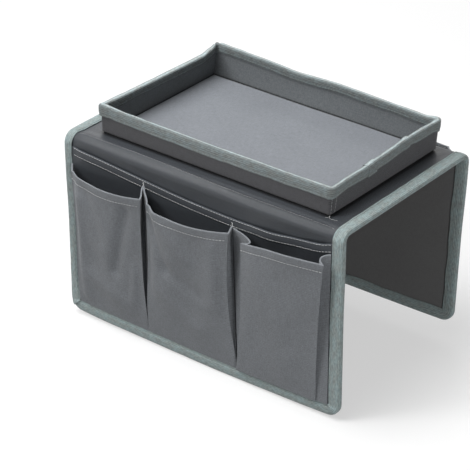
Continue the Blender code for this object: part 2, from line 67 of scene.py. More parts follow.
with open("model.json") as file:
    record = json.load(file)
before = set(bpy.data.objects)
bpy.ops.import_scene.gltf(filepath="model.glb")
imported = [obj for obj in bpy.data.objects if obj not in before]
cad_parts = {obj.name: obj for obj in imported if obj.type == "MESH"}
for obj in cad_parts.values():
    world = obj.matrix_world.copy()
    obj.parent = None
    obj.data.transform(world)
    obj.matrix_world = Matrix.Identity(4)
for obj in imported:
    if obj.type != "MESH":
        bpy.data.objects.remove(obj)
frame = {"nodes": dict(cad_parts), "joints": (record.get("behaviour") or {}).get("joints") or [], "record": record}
CAD_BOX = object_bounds()


def low(node):
    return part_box(node)[0]


def high(node):
    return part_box(node)[1]


FOLD_PLACES = {joint["name"]: joint["pos_m"] for joint in frame["joints"]}
MOUNT_WAYS = {mount["name"]: mount["axis"] for mount in frame["record"]["mounts"]}

# Panel: the height of its outer cloth, its half width over the tape, and how far it is flat
PANEL = high("top_cloth").z
CLOTH = PANEL - low("top_cloth").z
TOP_END = high("top_cloth").y
HALF = high("top_binding_right").x
INNER_HALF = low("top_binding_right").x
TAPE_WIDTH = HALF - INNER_HALF
EDGE = HALF - high("top_cloth").x
GAP = 0.0003
BEND_RADIUS = 0.010
CORNER_RADIUS = 0.013
FRONT_DROP = 0.189
BACK_DROP = 0.177
BACK_BORDER = 0.084
QUARTER_HANDLE = 0.5523

# Flat pocket: how far its mouth lies below the bend, at the tapes and at the two dividers, and where each
# divider's foot and top are
FLAT_DROPS = (0.0009, 0.0075, 0.0129, 0.0019)
LEFT_DIVIDER = (-0.0612, -0.0630)
RIGHT_DIVIDER = (0.0450, 0.0400)
FLAT_OUT = GAP + CLOTH
ON_FLAT = FLAT_OUT + 0.0009
POCKET_CLOTH = 0.0007
SEAM_PITCH = 0.0007
TAPE_SEAM = INNER_HALF - SEAM_PITCH

# Tape: how far its stitches run inside its edge, and its thickness where it laps over itself
STITCH_INSET = 0.0017
TAPE_THICK = 0.0007

# Stitches that overlap lie this share of their length apart
CLOSE = 0.9

# Tray: corners of its foot and of its rim's outer edge, from the front right one round to the front left one,
# the foot's middle, half size and turn for the shade beside it, and how round each corner is
TRAY_FOOT = ((0.1318, -0.0803), (0.1335, 0.0832), (-0.1303, 0.0862), (-0.1320, -0.0775))
TRAY_FOOT_MIDDLE = (0.0007, 0.0029)
TRAY_FOOT_HALF = (0.1319, 0.0818)
TRAY_TURN = 0.0105
TRAY_RIM = ((0.1335, -0.0800), (0.1368, 0.0838), (-0.1262, 0.0872), (-0.1325, -0.0780))
FOOT_RADII = (0.0022, 0.0030, 0.0020, 0.0015)
RIM_RADII = (0.0050, 0.0046, 0.0015, 0.0018)
INNER_RADII = (0.0004,) * 4
WALL = 0.0035

# The walls' numbers, from the one between the first two corners on
RIGHT_WALL, BACK_WALL, LEFT_WALL, FRONT_WALL = range(4)

# Height of the rim's crest above the panel, as (share of the wall's length, height), on each wall in that
# order, and how far the rim bows outwards halfway along it
RIM_HEIGHTS = (
    ((0.0, 0.0284), (0.15, 0.0290), (0.30, 0.0288), (0.45, 0.0302), (0.70, 0.0330), (0.90, 0.0330),
     (1.0, 0.0325)),
    ((0.0, 0.0325), (0.05, 0.0314), (0.15, 0.0318), (0.43, 0.0327), (0.62, 0.0311), (0.80, 0.0334),
     (0.92, 0.0350), (1.0, 0.0358)),
    ((0.0, 0.0358), (0.05, 0.0322), (0.14, 0.0291), (0.35, 0.0293), (0.65, 0.0293), (0.90, 0.0290),
     (1.0, 0.0297)),
    ((0.0, 0.0297), (0.10, 0.0286), (0.25, 0.0279), (0.50, 0.0272), (0.80, 0.0276), (1.0, 0.0284)),
)
RIM_BOWS = (-0.0010, 0.0022, -0.0014, -0.0008)

# The rim tape's two ends lap over each other on the right wall
LAP_SHARE = 0.31
LAP_LENGTH = 0.013
LAP_STEP = LAP_LENGTH / (TRAY_RIM[1][1] - TRAY_RIM[0][1])


def a_length(label, about, default, least, most, precision=4):
    return bpy.props.FloatProperty(
        name=label, description=about, default=default, min=least, max=most, precision=precision,
        unit="LENGTH")


def a_colour(label, about, default):
    return bpy.props.FloatVectorProperty(
        name=label, description=about, default=default, min=0.0, max=1.0, subtype="COLOR")


class OrganizerSizes(bpy.types.PropertyGroup):
    yarn_pitch: a_length("Yarn pitch", "Distance between two threads of the cloth", 0.0012, 0.0002, 0.003, 5)
    fold_depth: a_length("Pocket folds", "How far the pockets' folds move in and out", 0.0020, 0.0, 0.004)
    hem: a_length("Hem", "Height of the hem along the pocket mouths", 0.0085, 0.004, 0.014)
    tape_puff: a_length("Tape puff", "How far the tape swells beside its stitches", 0.0004, 0.0, 0.0012, 5)
    stitch: a_length("Stitch", "Length of one stitch", 0.0024, 0.001, 0.005)
    stitch_pitch: a_length("Stitch pitch", "Distance from one stitch to the next", 0.0032, 0.0015, 0.008)
    thread: a_length("Thread", "Thickness of the sewing thread", 0.00046, 0.0001, 0.001, 5)


class OrganizerColours(bpy.types.PropertyGroup):
    pocket_cloth: a_colour("Pocket cloth", "Woven cloth of the pockets", (0.162, 0.173, 0.187))
    # The pockets' woven cloth, painted lighter where it faces up on the floor: painted light
    floor_cloth: a_colour("Floor cloth", "Woven cloth on the tray's floor", (0.200, 0.214, 0.236))
    cover_cloth: a_colour("Cover cloth", "Coated cloth of the panel and its flaps", (0.039, 0.044, 0.051))
    # The pockets' woven cloth, painted darker on the walls' inside: painted shade
    inner_cloth: a_colour("Inner wall cloth", "Cloth on the tray walls' inside", (0.138, 0.150, 0.158))
    wall_cloth: a_colour("Wall cloth", "Dark cloth on the tray's outside", (0.055, 0.055, 0.060))
    lining: a_colour("Lining", "Cloth on the inner side of the panel and its flaps", (0.125, 0.125, 0.125))
    tape: a_colour("Binding tape", "Mottled tape round the edges", (0.285, 0.330, 0.322))
    rim_tape: a_colour("Rim tape", "Greyer tape over the tray's rim", (0.272, 0.300, 0.296))
    thread: a_colour("Thread", "Sewing thread on the hems", (0.58, 0.59, 0.59))
    dark_thread: a_colour("Dark thread", "Sewing thread on the cover and the tray", (0.270, 0.275, 0.280))
    board: a_colour("Board", "Stiffening board inside the cloth", (0.330, 0.270, 0.200))


def sizes():
    return bpy.context.scene.organizer_sizes


# Numbers and curves


def mix(a, b, share):
    return a + (b - a) * share


def spread(start, end, steps):
    return [mix(start, end, i / steps) for i in range(steps + 1)]


def smooth(start, end, value):
    """0 before start, 1 after end, and a soft step between."""
    share = max(0.0, min(1.0, (value - start) / (end - start)))
    return share * share * (3 - 2 * share)


def hump(value, middle, width):
    """A soft hump of height 1."""
    return math.exp(-((value - middle) / width) ** 2)


def ripple(a, b, scale, seed):
    """Even, repeatable unevenness from -1 to 1, about scale metres long."""
    return noise.noise(Vector((a / scale, b / scale, seed)))


def through(points, x):
    """The smooth curve through a few points (x, value), read at x."""
    total = 0.0
    for i, (xi, value) in enumerate(points):
        weight = value
        for j, (xj, _) in enumerate(points):
            if j != i:
                weight *= (x - xj) / (xi - xj)
        total += weight
    return total


def across_three(values, u):
    return through(tuple(zip((0.0, 0.5, 1.0), values)), u)


def track(points, x):
    """A curve that passes each point (x, value) without overshooting."""
    for (x0, a), (x1, b) in zip(points, points[1:]):
        if x <= x1:
            return mix(a, b, smooth(x0, x1, x))
    return points[-1][1]


def bezier(a, b, c, d, t):
    s = 1 - t
    return tuple(
        s * s * s * a[k] + 3 * s * s * t * b[k] + 3 * s * t * t * c[k] + t * t * t * d[k] for k in range(2))


def lengths_along(points):
    """How far along a line of points each one lies."""
    total = [0.0]
    for before, after in zip(points, points[1:]):
        total.append(total[-1] + (after - before).length)
    return total


# Flaps

# Where the tape's turn round a lower corner gets its points, in degrees; it is folded over itself up to 45
CORNER_ANGLES = (0.0, 9.0, 18.0, 27.0, 35.0, 41.0, 44.5, 47.0, 54.0, 63.0, 72.0, 81.0, 90.0)


class Flap:
    """A flap's place. side is -1 in front and 1 behind; over is the cloth between its face and its tape.

    slack is how far the left and the right edge are drawn in by the sewing, and how far the foot sags.
    """

    def __init__(self, name, side, drop, lean, over, slack):
        self.name = name
        self.side = side
        self.lean = lean
        self.over = over
        self.slack = slack
        _, self.axis_y, self.axis_z = FOLD_PLACES[name + "_fold"]
        self.inset = PANEL - self.axis_z
        self.start = side * (TOP_END + GAP)
        self.bend_end = BEND_RADIUS - self.inset
        self.top = self.bend_end + GAP
        self.bottom = drop - self.inset
        bent = side * (TOP_END + BEND_RADIUS)
        self.bend_line = ((0.0, side * TOP_END, PANEL), (0.0, bent, PANEL - BEND_RADIUS))

    def settled(self, x, drop):
        """Where cloth that was cut for this x and drop hangs."""
        left, right, sag = self.slack
        inwards = left * smooth(-0.11, -HALF, x) - right * smooth(0.11, HALF, x)
        foot = sag * (hump(x, 0.02, 0.08) - 1.1 * hump(x, -HALF, 0.035) - 0.6 * hump(x, HALF, 0.03))
        return x + inwards * smooth(0.02, 0.09, drop), drop + foot * smooth(0.05, 0.17, drop)

    def at(self, x, out, drop):
        """A place from x, the distance out from the flap's cloth and the drop below its axis."""
        x, drop = self.settled(x, drop)
        y = out + self.inset
        turned = y * math.cos(self.lean) - drop * math.sin(self.lean)
        lowered = y * math.sin(self.lean) + drop * math.cos(self.lean)
        return Vector((x, self.axis_y + self.side * turned, self.axis_z - lowered))

    def bend(self, x, height, share):
        """A place on the bend from the top panel to the flap, at a height above the cloth."""
        start = (self.start, PANEL + height)
        end = self.at(x, height, self.bend_end)
        back = (end - self.at(x, height, self.top)).normalized()
        reach = QUARTER_HANDLE * (BEND_RADIUS + height)
        near = (start[0] + self.side * reach, start[1])
        far = (end.y + back.y * reach, end.z + back.z * reach)
        return Vector((x, *bezier(start, near, far, (end.y, end.z), share)))

    def edge(self):
        """From left to right: places (x, drop), the way inwards, and how much of the corner's fold is there.

        The right half is the left one's mirror image.
        """
        centre_x = HALF - CORNER_RADIUS
        centre_drop = self.bottom - CORNER_RADIUS
        left = [(-HALF, drop, 1.0, 0.0, 0.0) for drop in spread(self.top, centre_drop, 44)[:-1]]
        for angle in CORNER_ANGLES:
            c = math.cos(math.radians(angle))
            s = math.sin(math.radians(angle))
            fold = smooth(12.0, 40.0, angle) if angle < 45.0 else 0.0
            left.append((-centre_x - CORNER_RADIUS * c, centre_drop + CORNER_RADIUS * s, c, -s, fold))
        foot = [(x, self.bottom, 0.0, -1.0, 0.0) for x in spread(-centre_x, centre_x, 72)[1:-1]]
        right = [(-x, drop, -dx, dd, fold) for x, drop, dx, dd, fold in reversed(left)]
        return left + foot + right

    def foot(self, x):
        """How far down the cloth's edge runs at this x."""
        radius = CORNER_RADIUS - EDGE
        lowest = self.bottom - EDGE
        past = abs(x) - (HALF - EDGE - radius)
        if past <= 0:
            return lowest
        return lowest - radius + math.sqrt(max(radius * radius - past * past, 0.0))


BACK_WAY = MOUNT_WAYS["back_flap_inner"]
FRONT = Flap("front_flap", -1, FRONT_DROP, 0.0, FLAT_OUT, (0.0015, 0.0011, 0.0017))
BACK = Flap("back_flap", 1, BACK_DROP, math.atan2(BACK_WAY[2], -BACK_WAY[1]), 0.0, (0.0008, 0.0013, 0.0008))


# Meshes


def new_piece(name, points, faces, uvs, look):
    """A mesh object at the origin. uvs holds a place in metres on the unrolled cloth for each face corner."""
    mesh = bpy.data.meshes.new(name)
    mesh.from_pydata([tuple(point) for point in points], [], faces)
    layer = mesh.uv_layers.new(name="Cloth")
    for loop, place in zip(layer.data, (place for face in uvs for place in face)):
        loop.uv = place
    mesh.materials.append(look)
    piece = bpy.data.objects.new(name, mesh)
    bpy.context.scene.collection.objects.link(piece)
    return piece


def select_only(piece):
    bpy.ops.object.select_all(action="DESELECT")
    piece.select_set(True)
    bpy.context.view_layer.objects.active = piece


def apply_modifiers(piece):
    select_only(piece)
    for modifier in list(piece.modifiers):
        bpy.ops.object.modifier_apply(modifier=modifier.name)


def smooth_shade(piece, degrees):
    select_only(piece)
    bpy.ops.object.shade_smooth_by_angle(angle=math.radians(degrees))


def cloth_sheet(name, rows, places, look, slot="cloth", thickness=CLOTH, hems=None, ring=False):
    """A sheet of cloth from rows of points on its outer face, given thickness inwards.

    Rows run down or forwards and points across, so that a face's outer side is where row times column points.
    hems puts the points in the cloth's middle, and holds each one's share of the full thickness. In a ring
    the last point of a row joins the first.
    """
    wide = len(rows[0])
    faces = []
    uvs = []
    for i in range(len(rows) - 1):
        for j in range(wide if ring else wide - 1):
            corners = ((i, j), (i + 1, j), (i + 1, j + 1), (i, j + 1))
            faces.append([a * wide + b % wide for a, b in corners])
            uvs.append([places[a][b] for a, b in corners])
    piece = new_piece(name, [point for row in rows for point in row], faces, uvs, look)
    solidify = piece.modifiers.new("Thickness", "SOLIDIFY")
    solidify.thickness = thickness
    solidify.offset = 0.0 if hems else -1.0
    if hems:
        group = piece.vertex_groups.new(name="Hem")
        for index, share in enumerate(share for row in hems for share in row):
            group.add([index], share, "REPLACE")
        solidify.vertex_group = group.name
    apply_modifiers(piece)
    piece.vertex_groups.clear()
    smooth_shade(piece, 50.0)
    return piece


def swept_tape(name, sections, look):
    """Tape from closed sections, each a loop of points, that follow each other along its way."""
    wide = len(sections[0])
    last = len(sections) - 1
    along = lengths_along([section[wide // 4] for section in sections])
    round_it = lengths_along([*sections[0], sections[0][0]])
    faces = []
    uvs = []
    for i in range(last):
        k = i + 1
        for j in range(wide):
            n = (j + 1) % wide
            faces.append([i * wide + j, i * wide + n, k * wide + n, k * wide + j])
            uvs.append([
                (round_it[j], along[i]), (round_it[j + 1], along[i]),
                (round_it[j + 1], along[k]), (round_it[j], along[k])])
    for end, order in ((0, range(wide - 1, -1, -1)), (last, range(wide))):
        faces.append([end * wide + j for j in order])
        uvs.append([(round_it[j], along[end]) for j in order])
    piece = new_piece(name, [point for section in sections for point in section], faces, uvs, look)
    select_only(piece)
    bpy.ops.object.mode_set(mode="EDIT")
    bpy.ops.mesh.select_all(action="SELECT")
    bpy.ops.mesh.normals_make_consistent(inside=False)
    bpy.ops.object.mode_set(mode="OBJECT")
    smooth_shade(piece, 60.0)
    return piece


def stitch_row(name, seam, thickness, pitch):
    """One stitch, repeated along a line of points."""
    long = sizes().stitch
    bpy.ops.object.select_all(action="DESELECT")
    bpy.ops.mesh.primitive_cylinder_add(
        vertices=6, radius=thickness / 2, depth=long, end_fill_type="NGON",
        location=(long / 2, 0.0, 0.0), rotation=(0.0, math.pi / 2, 0.0))
    stitch = bpy.context.active_object
    bpy.ops.object.transform_apply(location=True, rotation=True, scale=True)
    bpy.ops.object.mode_set(mode="EDIT")
    bpy.ops.mesh.select_all(action="SELECT")
    bpy.ops.mesh.bevel(offset=thickness * 0.3, segments=1, affect="EDGES")
    bpy.ops.object.mode_set(mode="OBJECT")
    line = bpy.data.curves.new(name + "_line", "CURVE")
    line.dimensions = "3D"
    spline = line.splines.new("POLY")
    spline.points.add(len(seam) - 1)
    for point, place in zip(spline.points, seam):
        point.co = (*place, 1.0)
    path = bpy.data.objects.new(name + "_line", line)
    bpy.context.scene.collection.objects.link(path)
    array = stitch.modifiers.new("Repeat", "ARRAY")
    array.fit_type = "FIT_LENGTH"
    array.fit_length = lengths_along(seam)[-1] - long
    array.use_relative_offset = False
    array.use_constant_offset = True
    array.constant_offset_displace = (pitch, 0.0, 0.0)
    follow = stitch.modifiers.new("Follow", "CURVE")
    follow.object = path
    follow.deform_axis = "POS_X"
    apply_modifiers(stitch)
    bpy.data.objects.remove(path)
    bpy.data.curves.remove(line)
    return stitch


def stitches(name, seams, look, thickness=None, pitch=None):
    """Rows of stitches along lines of points."""
    thickness = thickness or sizes().thread
    pitch = pitch or sizes().stitch_pitch
    rows = [stitch_row(name, seam, thickness, pitch) for seam in seams]
    piece = rows[0]
    select_only(piece)
    for row in rows[1:]:
        row.select_set(True)
    if len(rows) > 1:
        bpy.ops.object.join()
    piece.name = name
    piece.data.name = name
    piece.data.materials.clear()
    piece.data.materials.append(look_of(look))
    smooth_shade(piece, 60.0)
    return piece


# Materials

# From one thick row of picks, one rib across the tape or one ridge along it to the next
PICK_ROWS = 0.0017
TAPE_RIBS = 0.0011
TAPE_RIDGES = 0.0016


class Signal:
    """A number in a material, so that shader maths reads as an expression."""

    def __init__(self, look, socket):
        self.look = look
        self.socket = socket

    def __add__(self, other):
        return self.look.math("ADD", self, other)

    def __radd__(self, other):
        return self.look.math("ADD", other, self)

    def __sub__(self, other):
        return self.look.math("SUBTRACT", self, other)

    def __rsub__(self, other):
        return self.look.math("SUBTRACT", other, self)

    def __mul__(self, other):
        return self.look.math("MULTIPLY", self, other)

    def __rmul__(self, other):
        return self.look.math("MULTIPLY", other, self)

    def __abs__(self):
        return self.look.math("ABSOLUTE", self)


class Look:
    """A material, or the world, that is built up from nodes."""

    def __init__(self, owner):
        owner.use_nodes = True
        self.owner = owner
        self.tree = owner.node_tree
        self.tree.nodes.clear()

    def node(self, kind, settings=None, values=None):
        """A node of this kind, with its settings and then the values or links of its sockets."""
        made = self.tree.nodes.new(kind)
        for name, value in (settings or {}).items():
            setattr(made, name, value)
        for name, value in (values or {}).items():
            socket = made.inputs[name]
            if isinstance(value, Signal):
                self.tree.links.new(value.socket, socket)
            elif isinstance(value, bpy.types.NodeSocket):
                self.tree.links.new(value, socket)
            else:
                socket.default_value = value
        return made

    def math(self, operation, *values):
        made = self.node("ShaderNodeMath", {"operation": operation}, dict(enumerate(values)))
        return Signal(self, made.outputs[0])

    def sine(self, value):
        return self.math("SINE", value)

    def split(self, place):
        apart = self.node("ShaderNodeSeparateXYZ", values={"Vector": place})
        return Signal(self, apart.outputs["X"]), Signal(self, apart.outputs["Y"])

    def cloth_place(self):
        """The place on the unrolled cloth, in metres, as two numbers and as a vector."""
        place = self.node("ShaderNodeUVMap", {"uv_map": "Cloth"}).outputs["UV"]
        return *self.split(place), place

    def object_place(self):
        return self.node("ShaderNodeTexCoord").outputs["Object"]

    def past_tray_foot(self):
        """How far a place is outside the tray's foot, in metres, which places the painted shadow beside it.
        The foot is turned a little on the panel.
        """
        x, y = self.split(self.object_place())
        across = abs(x - y * TRAY_TURN - TRAY_FOOT_MIDDLE[0]) - TRAY_FOOT_HALF[0]
        along = abs(y + x * TRAY_TURN - TRAY_FOOT_MIDDLE[1]) - TRAY_FOOT_HALF[1]
        return self.math("MAXIMUM", across, along)

    def stretched(self, place, scale):
        return self.node("ShaderNodeMapping", values={"Vector": place, "Scale": scale}).outputs["Vector"]

    def unevenness(self, place, scale, detail=2.0):
        """Noise from 0 to 1 with features of about 1 / scale metres."""
        made = self.node("ShaderNodeTexNoise", values={"Vector": place, "Scale": scale, "Detail": detail})
        return Signal(self, made.outputs["Fac"])

    def limited(self, value, start, end):
        """0 up to start, 1 from end on, and a soft step between."""
        made = self.node("ShaderNodeMapRange", {"interpolation_type": "SMOOTHSTEP"}, {
            "Value": value, "From Min": start, "From Max": end})
        return Signal(self, made.outputs["Result"])

    def shade(self, colour, factor):
        """A colour made lighter or darker by a number round 1."""
        made = self.node("ShaderNodeVectorMath", {"operation": "SCALE"}, {"Vector": colour, "Scale": factor})
        return made.outputs["Vector"]

    def mixed(self, factor, a, b):
        made = self.node("ShaderNodeMix", {"data_type": "RGBA"}, {0: factor, 6: (*a, 1.0), 7: (*b, 1.0)})
        return made.outputs[2]

    def shown(self, shader, output="ShaderNodeOutputMaterial"):
        self.node(output, values={"Surface": shader.outputs[0]})
        return self.owner

    def finish(self, colour, roughness, height, depth, strength, **constants):
        """Ends in a Principled shader. constants are plain values of its other sockets."""
        bump = self.node("ShaderNodeBump", values={"Height": height, "Distance": depth, "Strength": strength})
        values = {"Base Color": colour, "Roughness": roughness, "Normal": bump.outputs["Normal"]}
        for name, value in constants.items():
            values[name.replace("_", " ")] = value
        return self.shown(self.node("ShaderNodeBsdfPrincipled", values=values))


def woven_cloth(
        look, colour, contrast, melange, fineness=0.8, sheen=0.15, roughness=0.82, rows=0.0, worn=0.0,
        seam=0.0, crease=None):
    """Woven cloth of the yarn pitch times fineness. rows is how much some picks stand out.

    Its fold highlight is how much lighter the fold along its mouth is painted, a painted highlight, and seam
    how much darker it is painted along its foot, where it is sewn on, as painted shade.
    crease is how much darker it is painted beside the tray's wall, a painted shadow, and how far outside the
    wall's foot that starts and is full.
    """
    u, v, place = look.cloth_place()
    turn = math.pi / (sizes().yarn_pitch * fineness)
    warp = look.sine(u * turn)
    weft = look.sine(v * turn)
    on_top = look.limited(warp * weft, -0.06, 0.06)
    height = abs(weft) + (abs(warp) - abs(weft)) * on_top
    slubs = look.unevenness(look.stretched(place, (1.0, 0.22, 1.0)), 900.0)
    picks = look.unevenness(look.stretched(place, (0.22, 1.0, 1.0)), 900.0)
    broad = look.unevenness(place, 28.0)
    thread = slubs + (picks - slubs) * on_top
    tone = 1.0 + contrast * (height - 0.64) + melange * 2.2 * (thread - 0.5) + 0.16 * (broad - 0.5)
    if rows:
        tone = tone + rows * look.sine(v * (2 * math.pi / PICK_ROWS)) * look.limited(broad, 0.30, 0.62)
    # Painted highlight: the fold along the mouth is painted lighter
    if worn:
        tone = tone + worn * look.limited(v, 0.0013, 0.0006)
    # Painted shade: the cloth is painted darker along its foot, where it is sewn on
    if seam:
        tone = tone - seam * look.limited(v, 0.0030, 0.0012)
    # Painted shadow: the cloth is painted darker beside the tray's wall
    if crease:
        darker, starts, full = crease
        tone = tone - darker * look.limited(look.past_tray_foot(), starts, full)
    return look.finish(
        look.shade(colour, tone), roughness - 0.06 * height, height + 0.6 * thread, 0.00016, 0.55,
        Sheen_Weight=sheen, Sheen_Roughness=0.55, Specular_IOR_Level=0.35)


def binding_tape(look, colour, ridge=0.16, crest=None):
    """Mottled tape with fine ribs across it and ridges along it.

    crest is how far across the tape its crest lies. The tape is painted lighter there, a painted highlight, and
    darker on its legs, the inner one most, as painted shade.
    """
    u, v, place = look.cloth_place()
    wander = look.unevenness(place, 60.0)
    ribs = look.sine(v * (2 * math.pi / TAPE_RIBS))
    ridges = look.sine(u * (2 * math.pi / TAPE_RIDGES) + wander * 3.0)
    flecks = look.unevenness(look.stretched(place, (1.0, 0.30, 1.0)), 900.0, 3.0)
    patches = look.unevenness(look.stretched(place, (1.0, 0.40, 1.0)), 260.0)
    broad = look.unevenness(place, 22.0)
    mottle = 0.40 * look.limited(flecks, 0.30, 0.70) + 0.22 * look.limited(patches, 0.25, 0.75)
    tone = 0.69 + mottle + 0.16 * (broad - 0.5) + ridge * ridges + 0.04 * ribs
    blue = (colour[0] * 0.92, colour[1], colour[2] * 1.04)
    base = look.mixed(look.limited(patches, 0.35, 0.65), colour, blue)
    # Painted highlight along the crest, and painted shade on the legs, the inner one darkest
    if crest is not None:
        tone = tone * (0.66 + 0.94 * look.limited(abs(u - crest), 0.0023, 0.0008))
        tone = tone - 0.12 * look.limited(u, crest + 0.0026, crest + 0.0040)
    return look.finish(
        look.shade(base, tone), 0.88 - 0.05 * flecks, 0.4 * ribs + ridges + 1.6 * flecks, 0.00016, 0.7,
        Sheen_Weight=0.15, Sheen_Roughness=0.6, Specular_IOR_Level=0.3)


def twisted_thread(look, colour, tint=(1.0, 1.0, 1.0)):
    """Sewing thread, of its colour times tint."""
    place = look.object_place()
    twist = look.unevenness(place, 2600.0)
    tinted = tuple(part * share for part, share in zip(colour, tint))
    return look.finish(
        look.shade(tinted, 0.8 + 0.4 * look.unevenness(place, 420.0)), 0.62 + 0.1 * twist, twist, 0.0001, 0.5,
        Sheen_Weight=0.2, Specular_IOR_Level=0.4)


def pressed_board(look, colour):
    """Board with short fibres."""
    place = look.object_place()
    fibres = look.unevenness(look.stretched(place, (1.0, 0.3, 1.0)), 700.0, 4.0)
    tone = 0.72 + 0.4 * fibres + 0.16 * look.unevenness(place, 40.0)
    return look.finish(
        look.shade(colour, tone), 0.9 - 0.05 * fibres, fibres, 0.0002, 0.4, Specular_IOR_Level=0.3)


# Each look: how it is made, its colour's name and its settings
COATED = {"contrast": 0.28, "melange": 0.35, "sheen": 0.04}
LOOKS = {
    # The pockets' mouths get a painted highlight along their fold
    "pocket_weave": (
        woven_cloth, "pocket_cloth",
        {"fineness": 1.0, "contrast": 0.80, "melange": 0.45, "rows": 0.10, "worn": 0.50}),
    # The floor cloth gets a painted shadow beside the tray's walls
    "floor_weave": (
        woven_cloth, "floor_cloth", {"contrast": 0.55, "melange": 0.40, "crease": (0.80, -0.0080, -0.0042)}),
    # The cover cloth gets a painted shadow in front of the tray's foot
    "cover_weave": (
        woven_cloth, "cover_cloth", {**COATED, "roughness": 0.43, "crease": (0.75, 0.0034, 0.0010)}),
    # The flat pocket's mouth gets a painted highlight along its fold
    "flat_pocket_weave": (woven_cloth, "cover_cloth", {**COATED, "roughness": 0.50, "worn": 1.1}),
    # The two wall cloths below get painted shade along their foot
    "inner_weave": (
        woven_cloth, "inner_cloth", {"fineness": 1.0, "contrast": 0.45, "melange": 0.5, "seam": 0.90}),
    "wall_weave": (woven_cloth, "wall_cloth", {"contrast": 0.35, "melange": 0.5, "seam": 0.75}),
    "lining_weave": (woven_cloth, "lining", {"contrast": 0.25, "melange": 0.2}),
    "tape_weave": (binding_tape, "tape", {}),
    "rim_weave": (binding_tape, "rim_tape", {"ridge": 0.24}),
    "hem_thread": (twisted_thread, "thread", {}),
    "dark_thread": (twisted_thread, "dark_thread", {}),
    "tape_thread": (twisted_thread, "tape", {"tint": (0.9, 0.92, 0.92)}),
    "stiff_board": (pressed_board, "board", {}),
}


def look_of(name, **more):
    """The material of this name, made when it is first asked for."""
    ready = bpy.data.materials.get(name)
    if ready:
        return ready
    make, part, settings = LOOKS[name]
    colour = tuple(getattr(bpy.context.scene.organizer_colours, part))
    return make(Look(bpy.data.materials.new(name)), colour, **settings, **more)


# Cover and underside

# The rows of points on a bend, and how far beside it the cloth has finer rows too
BEND_SHARES = spread(0.0, 1.0, 22)
NEAR_BEND = 0.016

# The tray's seam holds the cloth down this far to either side
TRAY_SEWN = 0.133


def crease_place(x):
    """Where the stitched crease along the bend lies, measured from where the cloth starts to bend."""
    return mix(0.0020, 0.0050, smooth(-0.09, 0.05, x))


def bend_relief(x, v):
    """How far the outer cloth lifts off the panel near the front bend. v starts where it starts to bend."""
    soft = 0.0004 * (1 + ripple(x, v, 0.045, 3.1)) + 0.0002 * (1 + ripple(x, v * 1.6, 0.016, 7.4))
    crease_at = crease_place(x)
    crease = 0.0009 * hump(v, crease_at, 0.0008) * smooth(-0.12, 0.03, x)
    sag = -0.0007 * hump(v, crease_at + 0.0042, 0.0026) * smooth(0.0, 0.07, x)
    sewn_down = smooth(-0.0125, -0.0065, v) if abs(x) < TRAY_SEWN else 1.0
    beside = 0.0006 * hump(v, -0.0010, 0.0040) * sewn_down + 0.0011 * hump(v, 0.0105, 0.0085)
    free = smooth(INNER_HALF + 0.0005, INNER_HALF - 0.0080, abs(x))
    return (soft + crease + sag + beside) * (1 - smooth(0.008, 0.0140 + flat_mouth(x) - FRONT.top, v)) * free


def bend_stitch_line():
    """Points along the crease, on the outer cloth, from one tape to the other."""
    along = lengths_along([FRONT.bend(0.0, 0.0, share) for share in BEND_SHARES])[-1]
    points = []
    for x in spread(0.0010 - INNER_HALF, INNER_HALF - 0.0010, 90):
        v = crease_place(x)
        points.append(FRONT.bend(x, bend_relief(x, v) + 0.00005, v / along))
    return points


def folded_cloth(name, flap, height, side, look, slot, relief=lambda x, v: 0.0):
    """One cloth over the panel, a bend and a flap. side is where its rows start, seen from the front."""
    xs = spread(side * (HALF - EDGE), -side * (HALF - EDGE), 84)
    rows = []
    places = []
    long = abs(flap.start - BACK_BORDER)
    shares = spread(0.0, 1.0, 4)
    if long > 2 * NEAR_BEND:
        near = 1 - NEAR_BEND / long
        shares = spread(0.0, near, 32) + spread(near, 1.0, 20)[1:]
    for share in shares:
        y = mix(BACK_BORDER, flap.start, share)
        v = (share - 1) * long
        rows.append([Vector((x, y, PANEL + height + relief(x, v))) for x in xs])
        places.append([(x, v) for x in xs])
    along = lengths_along([flap.bend(0.0, height, share) for share in BEND_SHARES])
    for share, v in list(zip(BEND_SHARES, along))[1:]:
        rows.append([flap.bend(x, height + relief(x, v), share) for x in xs])
        places.append([(x, v) for x in xs])
    for share in spread(0.0, 1.0, 30)[1:]:
        drops = [mix(flap.bend_end, flap.foot(x), share) for x in xs]
        places.append([(x, along[-1] + drop - flap.bend_end) for x, drop in zip(xs, drops)])
        rows.append([flap.at(x, height + relief(x, v), drop) for (x, v), drop in zip(places[-1], drops)])
    piece = cloth_sheet(name, rows, places, look_of(look), slot)
    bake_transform(piece)
    return piece


class ORGANIZER_OT_cover(bpy.types.Operator):
    """Makes the outer cloth of the panel, its two bends and its flaps"""

    bl_idname = "organizer.cover"
    bl_label = "Cover Cloth"

    def execute(self, context):
        front = folded_cloth("front_cover", FRONT, 0.0, FRONT.side, "cover_weave", "cloth", bend_relief)
        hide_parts("top_cloth", "front_fold_cloth", "front_flap_cloth")
        crease = stitches("front_crease_stitches", [bend_stitch_line()], "dark_thread")
        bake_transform(crease)
        back = folded_cloth("back_cover", BACK, 0.0, BACK.side, "cover_weave", "cloth")
        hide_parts("back_fold_cloth", "back_flap_cloth")
        return {"FINISHED"}


class ORGANIZER_OT_underside(bpy.types.Operator):
    """Makes the lining on the inner side"""

    bl_idname = "organizer.underside"
    bl_label = "Underside Cloth"

    def execute(self, context):
        front = folded_cloth("front_underside", FRONT, -PANEL, -FRONT.side, "lining_weave", "lining")
        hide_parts("top_lining", "front_fold_lining", "front_flap_lining")
        back = folded_cloth("back_underside", BACK, -PANEL, -BACK.side, "lining_weave", "lining")
        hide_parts("back_fold_lining", "back_flap_lining")
        return {"FINISHED"}


# Binding tape


